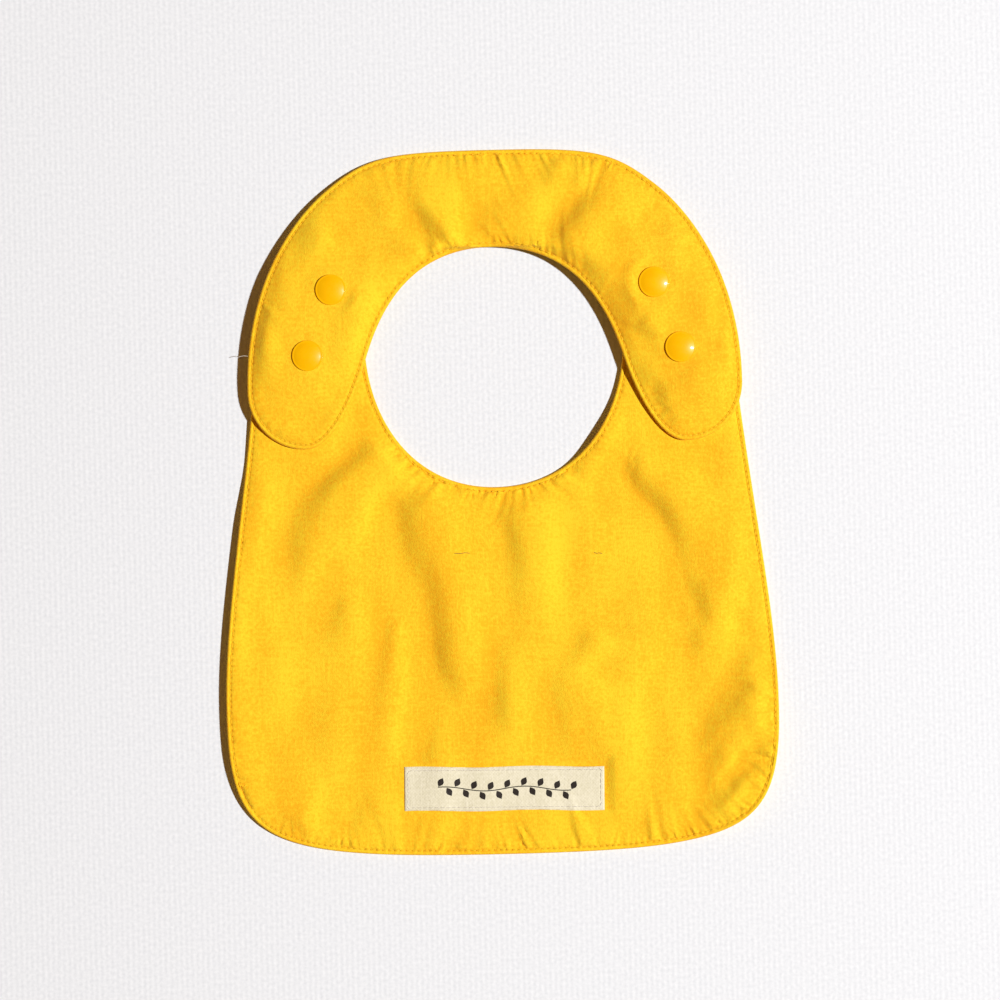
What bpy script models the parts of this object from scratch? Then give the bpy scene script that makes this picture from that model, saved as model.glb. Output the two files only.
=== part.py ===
"""A baby's bib in padded cotton, closed and lying face up on a table.

A bib-shaped body panel and a separate horseshoe neckband are each sewn from a front cloth, a back cloth
and an absorbent core. Four plastic snap fasteners join the band's two arms to the body's shoulders.
+X is to the right of the face, +Y runs from the hem to the nape and +Z out of the face.
The origin is at the middle of the whole outline, on the table.
"""

import math

import bmesh
import bpy
from mathutils import Euler, Vector
from mathutils.geometry import interpolate_bezier

MM = 0.001

# Outline of the body. A height h is measured up from the hem, and a width is the whole width.
BODY_WIDTH = 224 * MM
BODY_WIDEST_AT = 62 * MM
SHOULDER_WIDTH = 199.2 * MM
HEM_TO_NECK = 149.2 * MM
NECK_WIDTH = 105 * MM
SHOULDER_END = 20.6 * MM  # from the upper snap to the hidden end of the shoulder
SHOULDER_END_INWARD = 7 * MM  # of the middle between the neck and the shoulder's outside
SHOULDER_BELOW_SNAP = 26 * MM  # where the shoulder's width is measured, under the lower snap
NECK_WIDEST_ABOVE_SNAP = 6 * MM

# Outline of the neckband.
NECK_LENGTH = 97.3 * MM  # from the body's neckline to the band's
BAND_WIDTH = 200.4 * MM
BAND_DEPTH = 39.7 * MM  # above the neck opening
ARM_END_WIDTH = 46 * MM
SNAP_TO_ARM_TIP = 37.7 * MM
ARM_WIDEST_BELOW_SNAP = 14 * MM
ARM_INSIDE_BELOW_SNAP = 5.6 * MM  # where the inner edge turns outwards

# Where the arms fold back over the nape when their snaps are open.
FOLD_BELOW_NECK_TOP = 3.5 * MM
FOLD_GAP = 0.4 * MM
FOLD_CLEAR = 0.1 * MM  # the fold line's height over the thread
FOLD_TO_UPPER_SNAP = 16.1 * MM  # down from the top of the neck opening
SNAP_PITCH = 26.4 * MM

# Cloth and the gap that neighbouring layers keep.
PANEL = 0.4 * MM
CORE = 0.6 * MM
LAY_GAP = 0.3 * MM
RIM = 1.0 * MM  # width of the turned-in edge of a panel
STITCH_INSET = 1.8 * MM
THREAD = 0.35 * MM
TOUCH_GAP = 0.8 * MM  # between an arm's tip and the body under it

# Snap fastener, size 20.
CAP_RADIUS = 6.2 * MM
CAP_DOME = 1.4 * MM
CAP_EDGE = 0.45 * MM
PRONG_RADIUS = 0.75 * MM
RIVET_RADIUS = 1.2 * MM
RIVET_HEIGHT = 0.5 * MM
SNAP_RADIUS = 5.3 * MM
SNAP_BASE = 0.8 * MM
POST_RADIUS = 2.0 * MM
POST_HEAD_RADIUS = 2.2 * MM
POST_HEIGHT = 2.0 * MM
SNAP_FIT = 0.4 * MM  # radial clearance of the post in the socket
HOLE_FIT = 0.3 * MM  # radial clearance round a prong or a rivet head

# Label.
LABEL_WIDTH = 81 * MM
LABEL_HEIGHT = 17.8 * MM
LABEL_ABOVE_HEM = 26.8 * MM  # to the label's centre line
LABEL_THICKNESS = 0.3 * MM
LABEL_STITCH_INSET = 1.5 * MM

CURVE_STEPS = 7
RAMP_STEPS = 6
TURN_STEPS = 16
BEYOND = 12 * MM  # how far cutters reach past what they cut

# Heights worked out from the sizes above.
NECK_TOP = HEM_TO_NECK + NECK_LENGTH
BIB_LENGTH = NECK_TOP + BAND_DEPTH
UPPER_SNAP_H = NECK_TOP - FOLD_TO_UPPER_SNAP
LOWER_SNAP_H = UPPER_SNAP_H - SNAP_PITCH
ARM_TIP_H = LOWER_SNAP_H - SNAP_TO_ARM_TIP
PAD = 2 * PANEL + CORE + 2 * LAY_GAP
RAMP_LENGTH = 40 * MM
RAMP_END_H = LOWER_SNAP_H - CAP_RADIUS - 1 * MM
RAMP_START_H = RAMP_END_H - RAMP_LENGTH
LEVEL_END_H = UPPER_SNAP_H + CAP_RADIUS + 1 * MM
FOLD_H = NECK_TOP - FOLD_BELOW_NECK_TOP

SHOULDER_LIFT = CAP_DOME + LAY_GAP
STUD_Z = SHOULDER_LIFT + PAD + LAY_GAP
SNAP_STACK = 2 * SNAP_BASE + POST_HEIGHT + LAY_GAP
BAND_LEVEL = STUD_Z + SNAP_STACK + LAY_GAP
BAND_TOP_LIFT = 0.4 * MM  # of the band's top edge over the table

COLOURS = {
    "yellow_cotton": ((0.90, 0.56, 0.03, 1), 0.85),
    "absorbent_core": ((0.86, 0.84, 0.78, 1), 0.95),
    "yellow_thread": ((0.88, 0.55, 0.05, 1), 0.6),
    "snap_plastic": ((0.89, 0.50, 0.01, 1), 0.25),
    "label_cotton": ((0.86, 0.82, 0.68, 1), 0.9),
    "label_thread": ((0.80, 0.77, 0.66, 1), 0.7),
}


def material(slot):
    """The Principled material of a slot, made when it is first used."""
    found = bpy.data.materials.get(slot)
    if found:
        return found
    colour, roughness = COLOURS[slot]
    made = bpy.data.materials.new(slot)
    made.use_nodes = True
    shader = made.node_tree.nodes["Principled BSDF"]
    shader.inputs["Base Color"].default_value = colour
    shader.inputs["Roughness"].default_value = roughness
    shader.inputs["Metallic"].default_value = 0
    made.diffuse_color = colour
    return made


def collection(name):
    """A collection of the scene, made when it is first used."""
    found = bpy.data.collections.get(name)
    if not found:
        found = bpy.data.collections.new(name)
        bpy.context.scene.collection.children.link(found)
    return found


def add(name, data, group="bib"):
    """A new object of that data in a collection."""
    made = bpy.data.objects.new(name, data)
    collection(group).objects.link(made)
    return made


def clear_scene():
    for old in list(bpy.data.objects):
        bpy.data.objects.remove(old)


# Outlines -------------------------------------------------------------------------------------------------


def knot(x, h, heading, before, after):
    """A point of an outline at x and height h, with the edge's heading there in degrees anticlockwise from
    +X and the lengths of its two handles."""
    point = Vector((x, h - BIB_LENGTH / 2, 0))
    way = Vector((math.cos(math.radians(heading)), math.sin(math.radians(heading)), 0))
    return point, point - way * before, point + way * after


def whole_outline(right_half):
    """The closed anticlockwise loop of a right half's knots, which start and end on the centre line."""
    points = []
    for (start, _, leave), (end, arrive, _) in zip(right_half, right_half[1:]):
        points += interpolate_bezier(start, leave, arrive, end, CURVE_STEPS + 1)[:-1]
    points.append(right_half[-1][0])
    return points + [Vector((-p.x, p.y, 0)) for p in reversed(points[1:-1])]


def body_outline():
    half = BODY_WIDTH / 2
    shoulder = SHOULDER_WIDTH / 2
    neck = NECK_WIDTH / 2
    end_x = (shoulder + neck) / 2 - SHOULDER_END_INWARD
    under_arm = LOWER_SNAP_H - SHOULDER_BELOW_SNAP
    tip = UPPER_SNAP_H + SHOULDER_END
    neck_widest = LOWER_SNAP_H + NECK_WIDEST_ABOVE_SNAP
    return whole_outline(
        [
            knot(0, 0, 0, 0, half * 0.89),
            knot(half, BODY_WIDEST_AT, 90, BODY_WIDEST_AT * 0.9, (under_arm - BODY_WIDEST_AT) * 0.25),
            knot(shoulder, under_arm, 97, (under_arm - BODY_WIDEST_AT) * 0.5, (tip - under_arm) * 0.5),
            knot(end_x, tip, 180, SHOULDER_END * 0.9, SHOULDER_END * 0.5),
            knot(neck, neck_widest, 270, (tip - neck_widest) * 0.65, (neck_widest - HEM_TO_NECK) * 0.53),
            knot(0, HEM_TO_NECK, 180, neck * 0.65, 0),
        ]
    )


def band_outline():
    half = BAND_WIDTH / 2
    outer_level = LOWER_SNAP_H - ARM_WIDEST_BELOW_SNAP
    end_top = LOWER_SNAP_H - ARM_INSIDE_BELOW_SNAP
    inner_x = half - ARM_END_WIDTH - 1 * MM
    tip_x = half - ARM_END_WIDTH / 2
    rise = BIB_LENGTH - outer_level
    return whole_outline(
        [
            knot(0, NECK_TOP, 0, 0, inner_x * 0.75),
            knot(inner_x, end_top, 288, 12.6 * MM, 13 * MM),
            knot(tip_x, ARM_TIP_H, 0, ARM_END_WIDTH * 0.24, ARM_END_WIDTH * 0.27),
            knot(half, outer_level, 90, 13.5 * MM, rise * 0.46),
            knot(half * 0.676, BIB_LENGTH - rise * 0.168, 140, rise * 0.16, rise * 0.24),
            knot(0, BIB_LENGTH, 180, half * 0.42, 0),
        ]
    )


def inset(loop, distance):
    """The closed anticlockwise loop moved inwards."""
    moved = []
    for before, here, after in zip(loop[-1:] + loop[:-1], loop, loop[1:] + loop[:1]):
        way = (here - before).normalized() + (after - here).normalized()
        moved.append(here + Vector((-way.y, way.x, 0)).normalized() * distance)
    return moved


def edge_width(loop, h):
    """Where the loop crosses height h at positive x: the least and the greatest x."""
    y = h - BIB_LENGTH / 2
    crossings = []
    for here, after in zip(loop, loop[1:] + loop[:1]):
        if (here.y - y) * (after.y - y) <= 0 and here.y != after.y:
            x = here.x + (after.x - here.x) * (y - here.y) / (after.y - here.y)
            crossings.append(x)
    right = [x for x in crossings if x > 0]
    return min(right), max(right)


def snap_places():
    """The four snaps as name, x and h, on the middle line of the band's arms."""
    band = band_outline()
    places = []
    for level, h in (("upper", UPPER_SNAP_H), ("lower", LOWER_SNAP_H)):
        x = sum(edge_width(band, h)) / 2
        places += [(f"snap_left_{level}", -x, h), (f"snap_right_{level}", x, h)]
    return places


# How the cloth lies ---------------------------------------------------------------------------------------


def ease(share):
    share = min(max(share, 0), 1)
    return share * share * (3 - 2 * share)


def body_lie(h):
    """Height of the body's back face over the table: flat, then up on to the back caps of the snaps."""
    return SHOULDER_LIFT * ease((h - RAMP_START_H) / RAMP_LENGTH)


def band_lie(h):
    """Height of the band's back face: up from the arm's tip, level at the snaps, then a plane slope down."""
    if h > LEVEL_END_H:
        slope = (BAND_LEVEL - BAND_TOP_LIFT) / (BIB_LENGTH - LEVEL_END_H)
        return BAND_LEVEL - slope * (h - LEVEL_END_H)
    tip = body_lie(ARM_TIP_H) + PAD + TOUCH_GAP
    return tip + (BAND_LEVEL - tip) * ease((h - ARM_TIP_H) / (RAMP_END_H - ARM_TIP_H))


def stations(lie):
    """The heights at which a layer bends, with one beyond each end."""
    start, end = (RAMP_START_H, RAMP_END_H) if lie is body_lie else (ARM_TIP_H, RAMP_END_H)
    ramp = [start + (end - start) * i / RAMP_STEPS for i in range(RAMP_STEPS + 1)]
    return [-BEYOND, *ramp, LEVEL_END_H, BIB_LENGTH + BEYOND]


def as_mesh(curve_object):
    """Turns a curve object into a mesh object of the same name, in world space."""
    evaluated = curve_object.evaluated_get(bpy.context.evaluated_depsgraph_get())
    mesh = bpy.data.meshes.new_from_object(evaluated)
    mesh.transform(curve_object.matrix_world)
    work = bmesh.new()
    work.from_mesh(mesh)
    bmesh.ops.remove_doubles(work, verts=work.verts, dist=0.00001)
    work.to_mesh(mesh)
    work.free()
    name = curve_object.name
    bpy.data.objects.remove(curve_object)
    return add(name, mesh)


def flat_shape(name, points, half_thickness, place=(0, 0, 0), turn=(0, 0, 0)):
    """A solid of a flat closed outline, as a filled 2D curve with a thickness."""
    curve = bpy.data.curves.new(name, "CURVE")
    curve.dimensions = "2D"
    curve.fill_mode = "BOTH"
    curve.extrude = half_thickness
    spline = curve.splines.new("POLY")
    spline.points.add(len(points) - 1)
    for point, (x, y) in zip(spline.points, points):
        point.co = (x, y, 0, 1)
    spline.use_cyclic_u = True
    made = add(name, curve)
    made.location = place
    made.rotation_euler = Euler(turn)
    bpy.context.view_layer.update()
    return as_mesh(made)


def combine(piece, tool, operation):
    """Applies a Boolean of the tool to the piece, and removes the tool."""
    modifier = piece.modifiers.new("boolean", "BOOLEAN")
    modifier.object = tool
    modifier.operation = operation
    bpy.context.view_layer.update()
    evaluated = piece.evaluated_get(bpy.context.evaluated_depsgraph_get())
    mesh = bpy.data.meshes.new_from_object(evaluated)
    piece.modifiers.clear()
    piece.data = mesh
    bpy.data.objects.remove(tool)
    return piece


def layer(name, loop, lie, low, high):
    """A layer of cloth over a loop, between two heights above the back face, bent as the cloth lies."""
    bends = stations(lie)
    under = [(h - BIB_LENGTH / 2, lie(h) + low) for h in bends]
    over = [(h - BIB_LENGTH / 2, lie(h) + high) for h in reversed(bends)]
    width = max(BODY_WIDTH, BAND_WIDTH) / 2 + BEYOND
    turn = (math.pi / 2, 0, math.pi / 2)
    sheet = flat_shape(name, under + over, width, turn=turn)
    outline = [(p.x, p.y) for p in loop]
    tool = flat_shape(name + "_outline", outline, BAND_LEVEL + PAD + BEYOND)
    return combine(sheet, tool, "INTERSECT")


def panel(name, loop, lie, front):
    """A front or back cloth, with its edge turned in to meet the other one's at half thickness."""
    middle = PAD / 2
    if front:
        low, high, pocket_low, pocket_high = middle + LAY_GAP / 2, PAD, 0, PAD - PANEL
    else:
        low, high, pocket_low, pocket_high = 0, middle - LAY_GAP / 2, PANEL, PAD
    cloth = layer(name, loop, lie, low, high)
    pocket = layer(name + "_pocket", inset(loop, RIM), lie, pocket_low, pocket_high)
    return combine(cloth, pocket, "DIFFERENCE")


def core(name, loop, lie):
    """The absorbent layer between the two cloths."""
    low = PANEL + LAY_GAP
    return layer(name, inset(loop, RIM + LAY_GAP), lie, low, low + CORE)


# Cutting the layers ---------------------------------------------------------------------------------------


def cutter(name, mesh_object):
    """Marks an object as a cutter, out of the model."""
    bpy.data.collections["bib"].objects.unlink(mesh_object)
    collection("cutters").objects.link(mesh_object)
    mesh_object.name = name
    mesh_object.hide_render = True
    mesh_object.display_type = "WIRE"
    return mesh_object


def hole_cutter(name, x, h):
    """A round cutter for the hole that a snap's prong passes through."""
    bpy.ops.mesh.primitive_cylinder_add(
        vertices=12,
        radius=PRONG_RADIUS + HOLE_FIT,
        depth=BAND_LEVEL + PAD + 2 * BEYOND,
        location=(x, h - BIB_LENGTH / 2, (BAND_LEVEL + PAD) / 2),
    )
    made = bpy.context.active_object
    for group in list(made.users_collection):
        group.objects.unlink(made)
    collection("bib").objects.link(made)
    return cutter(name, made)


def fold_cutters():
    """Three flat regions as cutters: the left arm, the right arm, and the band's centre beyond the fold."""
    fold = FOLD_H - BIB_LENGTH / 2
    reach = BAND_WIDTH
    thick = BAND_LEVEL + PAD + BEYOND
    bottom, low, high = fold - BIB_LENGTH, fold - FOLD_GAP / 2, fold + FOLD_GAP / 2
    regions = {
        "left": [(-reach, bottom), (-LAY_GAP, bottom), (-LAY_GAP, low), (-reach, low)],
        "right": [(LAY_GAP, bottom), (reach, bottom), (reach, low), (LAY_GAP, low)],
        "centre": [(-reach, high), (reach, high), (reach, high + reach), (-reach, high + reach)],
    }
    made = {}
    for part, region in regions.items():
        made[part] = cutter("fold_" + part, flat_shape("fold_" + part, region, thick))
    return made


def cut(piece, tool, operation):
    """Cuts a piece with a live Boolean."""
    modifier = piece.modifiers.new(tool.name, "BOOLEAN")
    modifier.object = tool
    modifier.operation = operation


# Stitching ------------------------------------------------------------------------------------------------


def dense(loop, pitch=0.5 * MM):
    """The closed loop with points close together."""
    points = []
    for here, after in zip(loop, loop[1:] + loop[:1]):
        count = max(1, round((after - here).length / pitch))
        points += [here.lerp(after, i / count) for i in range(count)]
    return points


def runs_of(points, keep):
    """The stretches of a closed line whose points pass the test, each in order."""
    passed = [keep(p) for p in points]
    if all(passed):
        return [points]
    start = next(i for i in range(len(points)) if passed[i] and not passed[i - 1])
    turned = points[start:] + points[:start]
    runs, run = [], []
    for point in turned:
        if keep(point):
            run.append(point)
        elif run:
            runs.append(run)
            run = []
    return runs + [run] if run else runs


def thinned(points, pitch=3.6 * MM):
    """Fewer points along a line, with both its ends."""
    kept = [points[0]]
    for point in points[1:-1]:
        if (point - kept[-1]).length >= pitch and (point - points[-1]).length > pitch / 2:
            kept.append(point)
    return kept + [points[-1]]


def thread(name, runs, closed, over, slot):
    """Sewing thread along runs of points, lying on a surface whose height is over(h)."""
    curve = bpy.data.curves.new(name, "CURVE")
    curve.dimensions = "3D"
    curve.bevel_depth = THREAD / 2
    curve.bevel_resolution = 0
    curve.use_fill_caps = not closed
    for run in runs:
        spline = curve.splines.new("POLY")
        spline.points.add(len(run) - 1)
        for point, p in zip(spline.points, run):
            z = over(p.y + BIB_LENGTH / 2) + LAY_GAP + THREAD / 2
            point.co = (p.x, p.y, z, 1)
        spline.use_cyclic_u = closed
    made = add(name, curve)
    curve.materials.append(material(slot))
    return made


# Snap fasteners -------------------------------------------------------------------------------------------


def turned(name, profile, slot, place, upside_down=False):
    """A turned solid from a profile of radii and heights that runs down its outer side. A profile that
    leaves the axis is a closed ring."""
    mesh = bpy.data.meshes.new(name)
    ring = profile[0][0] > 0
    edges = [(i, i + 1) for i in range(len(profile) - 1)]
    if ring:
        edges.append((len(profile) - 1, 0))
    mesh.from_pydata([(r, 0, z) for r, z in profile], edges, [])
    mesh.materials.append(material(slot))
    made = add(name, mesh)
    screw = made.modifiers.new("turn", "SCREW")
    screw.steps = TURN_STEPS
    screw.render_steps = TURN_STEPS
    screw.use_merge_vertices = True
    screw.merge_threshold = 0.00001
    made.location = place
    if upside_down:
        made.rotation_euler = Euler((math.pi, 0, 0))
    return made


def cap_profile():
    """Domed cap with its prong, crimped over into a rivet head. The cap's underside is at z 0."""
    reach = LAY_GAP + PAD + LAY_GAP + SNAP_BASE + LAY_GAP
    sphere = (CAP_RADIUS**2 + (CAP_DOME - CAP_EDGE) ** 2) / (2 * (CAP_DOME - CAP_EDGE))
    dome = []
    for share in (0, 0.3, 0.55, 0.8, 1):
        r = CAP_RADIUS * share
        dome.append((r, CAP_DOME - sphere + math.sqrt(sphere**2 - r**2)))
    flange = [(CAP_RADIUS, 0.15 * MM), (CAP_RADIUS - 0.2 * MM, 0)]
    prong = [(PRONG_RADIUS, 0), (PRONG_RADIUS, -reach)]
    head = [(RIVET_RADIUS, -reach), (RIVET_RADIUS, -reach - RIVET_HEIGHT), (0, -reach - RIVET_HEIGHT)]
    return dome + flange + prong + head


def stud_profile():
    """Male half: a disc with a hollow headed post. Its fabric side is at z 0."""
    top = SNAP_BASE + POST_HEIGHT
    hollow = RIVET_RADIUS + HOLE_FIT
    hole = PRONG_RADIUS + HOLE_FIT
    return [
        (hollow, top),
        (POST_RADIUS, top),
        (POST_HEAD_RADIUS, top - 0.3 * MM),
        (POST_HEAD_RADIUS, top - 0.6 * MM),
        (POST_RADIUS, top - 1.0 * MM),
        (POST_RADIUS, SNAP_BASE),
        (SNAP_RADIUS, SNAP_BASE),
        (SNAP_RADIUS, 0),
        (hole, 0),
        (hole, SNAP_BASE),
        (hollow, SNAP_BASE),
    ]


def socket_profile():
    """Female half: a thick ring closed by a base. Its mouth is at z 0 and its fabric side on top."""
    height = LAY_GAP + POST_HEIGHT - LAY_GAP + SNAP_BASE
    mouth = POST_HEAD_RADIUS + SNAP_FIT
    ceiling = height - SNAP_BASE
    hole = PRONG_RADIUS + HOLE_FIT
    return [
        (hole, height),
        (SNAP_RADIUS, height),
        (SNAP_RADIUS, 0.4 * MM),
        (SNAP_RADIUS - 0.4 * MM, 0),
        (mouth, 0),
        (mouth, 0.5 * MM),
        (mouth + 0.25 * MM, 0.9 * MM),
        (mouth + 0.25 * MM, ceiling),
        (hole, ceiling),
    ]


def make_snap(name, x, h):
    """The four pieces of one snap: cap and socket on the band, stud and back cap on the body."""
    y = h - BIB_LENGTH / 2
    plastic = "snap_plastic"
    socket_z = STUD_Z + SNAP_BASE + LAY_GAP
    cap_z = BAND_LEVEL + PAD + LAY_GAP
    turned(name + "_back_cap", cap_profile(), plastic, (x, y, CAP_DOME), upside_down=True)
    turned(name + "_stud", stud_profile(), plastic, (x, y, STUD_Z))
    socket = turned(name + "_socket", socket_profile(), plastic, (x, y, socket_z))
    cap = turned(name + "_cap", cap_profile(), plastic, (x, y, cap_z))
    return socket, cap


# Assembly -------------------------------------------------------------------------------------------------


def joint_empty(name, place):
    made = add(name, None)
    made.location = place
    made.empty_display_size = 0.01
    return made


def hold(pieces, empty):
    """Parents pieces to a joint's empty, and moves the origin of those built in place on to its axis."""
    bpy.context.view_layer.update()
    for piece in pieces:
        if piece.type == "MESH" and piece.location.length == 0:
            piece.data.transform(piece.matrix_world)
            piece.data.transform(empty.matrix_world.inverted())
            piece.location = (0, 0, 0)
        else:
            piece.location = piece.location - empty.matrix_world.translation
        piece.parent = empty


def make_body(holes):
    loop = body_outline()
    front = panel("body_front_panel", loop, body_lie, front=True)
    back = panel("body_back_panel", loop, body_lie, front=False)
    middle = core("body_absorbent_core", loop, body_lie)
    for cloth in (front, back, middle):
        for hole in holes.values():
            cut(cloth, hole, "DIFFERENCE")
    for cloth in (front, back):
        cloth.data.materials.append(material("yellow_cotton"))
    middle.data.materials.append(material("absorbent_core"))
    line = dense(inset(loop, STITCH_INSET))

    def over(h):
        return body_lie(h) + PAD

    thread("body_topstitch", [thinned(line)], True, over, "yellow_thread")


def make_label():
    half_w, half_h = LABEL_WIDTH / 2, LABEL_HEIGHT / 2
    y = LABEL_ABOVE_HEM - BIB_LENGTH / 2
    z = PAD + LAY_GAP + LABEL_THICKNESS / 2
    bpy.ops.mesh.primitive_cube_add(size=1, location=(0, y, z))
    label = bpy.context.active_object
    label.scale = (LABEL_WIDTH, LABEL_HEIGHT, LABEL_THICKNESS)
    bpy.ops.object.transform_apply(location=False, rotation=False, scale=True)
    for group in list(label.users_collection):
        group.objects.unlink(label)
    collection("bib").objects.link(label)
    label.name = "label_patch"
    label.data.materials.append(material("label_cotton"))
    in_w, in_h = half_w - LABEL_STITCH_INSET, half_h - LABEL_STITCH_INSET
    corners = [Vector((sx * in_w, y + sy * in_h, 0)) for sx, sy in ((-1, -1), (1, -1), (1, 1), (-1, 1))]

    def over(h):
        return PAD + LAY_GAP + LABEL_THICKNESS

    thread("label_stitching", [corners], True, over, "label_thread")


def make_band_part(part, holes, folds):
    """One part of the neckband: the centre, or an arm with its two snap holes."""
    loop = band_outline()
    name = f"neckband_{part}_"
    front = panel(name + "front_panel", loop, band_lie, front=True)
    back = panel(name + "back_panel", loop, band_lie, front=False)
    middle = core(name + "core", loop, band_lie)
    for cloth in (front, back, middle):
        cut(cloth, folds[part], "INTERSECT")
        for key, hole in holes.items():
            if part in key:
                cut(cloth, hole, "DIFFERENCE")
    for cloth in (front, back):
        cloth.data.materials.append(material("yellow_cotton"))
    middle.data.materials.append(material("absorbent_core"))
    return [front, back, middle] + sew_band_part(part, name)


def sew_band_part(part, name):
    """The topstitch of one part of the neckband, a stretch of thread for each stretch of its edge."""
    fold = FOLD_H - BIB_LENGTH / 2
    tests = {
        "left": lambda p: p.x < 0 and p.y < fold - FOLD_GAP / 2,
        "right": lambda p: p.x > 0 and p.y < fold - FOLD_GAP / 2,
        "centre": lambda p: p.y > fold + FOLD_GAP / 2,
    }
    line = dense(inset(band_outline(), STITCH_INSET))
    runs = sorted(runs_of(line, tests[part]), key=len)
    names = ["topstitch"] if len(runs) == 1 else ["inner_topstitch", "outer_topstitch"]

    def over(h):
        return band_lie(h) + PAD

    return [
        thread(name + label, [thinned(run)], False, over, "yellow_thread") for label, run in zip(names, runs)
    ]


def build():
    clear_scene()
    places = snap_places()
    holes = {name: hole_cutter(name + "_hole", x, h) for name, x, h in places}
    folds = fold_cutters()
    make_body(holes)
    make_label()

    lift = joint_empty("neckband_lift", (0, FOLD_H - BIB_LENGTH / 2, BAND_LEVEL))
    hold(make_band_part("centre", holes, folds), lift)
    snaps = {name: make_snap(name, x, h) for name, x, h in places}
    for side, part in ((-1, "left"), (1, "right")):
        pieces = make_band_part(part, holes, folds)
        for key, pair in snaps.items():
            if part in key:
                pieces += pair
        middle = side * sum(edge_width(band_outline(), FOLD_H)) / 2
        above_thread = band_lie(FOLD_H) + PAD + LAY_GAP + THREAD + FOLD_CLEAR
        hold(pieces, joint_empty(part + "_arm_fold", (middle, FOLD_H - BIB_LENGTH / 2, above_thread)))


build()
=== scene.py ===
# %% [markdown]
# # A padded cotton bib with a snap-on neckband
# The bib lies face up on a table. It has two sewn pads: a body with two shoulders, and a horseshoe
# neckband whose arms lie on the shoulders and are held there by plastic snaps. The solid model is
# loaded first as a fixed frame. Each piece made below goes where its solid is and stands for that solid
# in the picture. The body's pieces, the caps and the loose end ride on the moving body of their solid.

import math

import bmesh
import bpy
import numpy as np
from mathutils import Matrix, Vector
from mathutils.bvhtree import BVHTree
from mathutils.geometry import delaunay_2d_cdt, interpolate_bezier
from mathutils.kdtree import KDTree


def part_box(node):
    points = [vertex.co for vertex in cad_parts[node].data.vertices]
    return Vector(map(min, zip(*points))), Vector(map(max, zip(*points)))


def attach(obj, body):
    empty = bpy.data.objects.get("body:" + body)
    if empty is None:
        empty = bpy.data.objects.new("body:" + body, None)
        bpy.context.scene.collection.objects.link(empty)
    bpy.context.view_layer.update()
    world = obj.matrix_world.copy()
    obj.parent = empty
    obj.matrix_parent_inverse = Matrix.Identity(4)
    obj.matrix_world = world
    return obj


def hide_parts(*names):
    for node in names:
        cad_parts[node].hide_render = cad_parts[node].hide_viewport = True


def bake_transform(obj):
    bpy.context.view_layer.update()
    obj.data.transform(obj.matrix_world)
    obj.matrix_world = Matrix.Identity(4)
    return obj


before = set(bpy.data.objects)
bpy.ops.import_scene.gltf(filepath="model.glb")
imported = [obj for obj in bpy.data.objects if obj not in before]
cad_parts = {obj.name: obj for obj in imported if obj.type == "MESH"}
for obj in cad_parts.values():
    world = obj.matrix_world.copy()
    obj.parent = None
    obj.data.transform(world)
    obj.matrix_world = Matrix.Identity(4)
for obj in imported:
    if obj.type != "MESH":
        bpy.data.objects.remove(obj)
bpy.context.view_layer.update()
MM = 0.001

# %% [markdown]
# ## Sizes
# Sizes that the frame holds are read from its boxes. Heights along the bib are counted from the hem,
# as a sewing pattern does, and turned into Y only when a mesh is made.

# %% Sizes read from the frame, and sizes of cloth and thread
body_low, body_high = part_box("body_front_panel")
_, band_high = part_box("neckband_centre_front_panel")
arm_low, arm_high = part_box("neckband_right_front_panel")
label_low, label_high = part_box("label_patch")

HEM_Y = body_low.y
LENGTH = band_high.y - HEM_Y
BODY_HALF = body_high.x
BAND_HALF = arm_high.x
PAD = 2.0 * MM  # the two cloths and the core between them
MIDDLE_GAP = 0.05 * MM  # half the gap where the two cloths of a pad meet

SNAPS = {}
for side in ("left", "right"):
    for level in ("upper", "lower"):
        low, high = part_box(f"snap_{side}_{level}_cap")
        SNAPS[f"snap_{side}_{level}"] = ((low.x + high.x) / 2, (low.y + high.y) / 2 - HEM_Y)
UPPER_H = SNAPS["snap_right_upper"][1]
LOWER_H = SNAPS["snap_right_lower"][1]
CAP_RADIUS = (high.x - low.x) / 2
ARM_TIP_H = arm_low.y - HEM_Y
NECK_TOP_H = UPPER_H + 16.1 * MM
NECK_BASE_H = 149.2 * MM

SHOULDER_LIFT = 1.7 * MM
BAND_LEVEL = 8.2 * MM
BAND_TOP_LIFT = 0.4 * MM
RAMP_END_H = LOWER_H - CAP_RADIUS - 1 * MM
RAMP_START_H = RAMP_END_H - 40 * MM
LEVEL_END_H = UPPER_H + CAP_RADIUS + 1 * MM

STITCH_INSET = 1.8 * MM
STITCH_PITCH = 2.4 * MM
print("bib", round(LENGTH / MM, 1), "mm long,", round(2 * BODY_HALF / MM, 1), "mm wide")

# %% [markdown]
# ## The two outlines
# A pattern cutter draws half of each piece and mirrors it. The half is a chain of Bezier curves
# through a few knots, each with a heading, so that the edge stays smooth. The loop is then resampled
# at an even pitch: stitches and puckers are later placed by their distance along it.


# %% Draw an outline from knots
def knot(x, h, heading, before, after):
    """A knot at x and height h, with the edge's heading in degrees and the lengths of its handles."""
    point = Vector((x, h, 0))
    way = Vector((math.cos(math.radians(heading)), math.sin(math.radians(heading)), 0))
    return point, point - way * before, point + way * after


def even_loop(points, pitch):
    """The closed line through the points again, with points about a pitch apart. Their number is a
    multiple of eight, so that a stitch takes four of them and half a loop holds whole stitches."""
    closed = np.vstack([points, points[:1]])
    along = np.concatenate([[0], np.cumsum(np.linalg.norm(np.diff(closed, axis=0), axis=1))])
    count = 8 * round(along[-1] / pitch / 8)
    at = np.arange(count) * along[-1] / count
    return np.stack([np.interp(at, along, closed[:, k]) for k in (0, 1)], axis=1)


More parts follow.
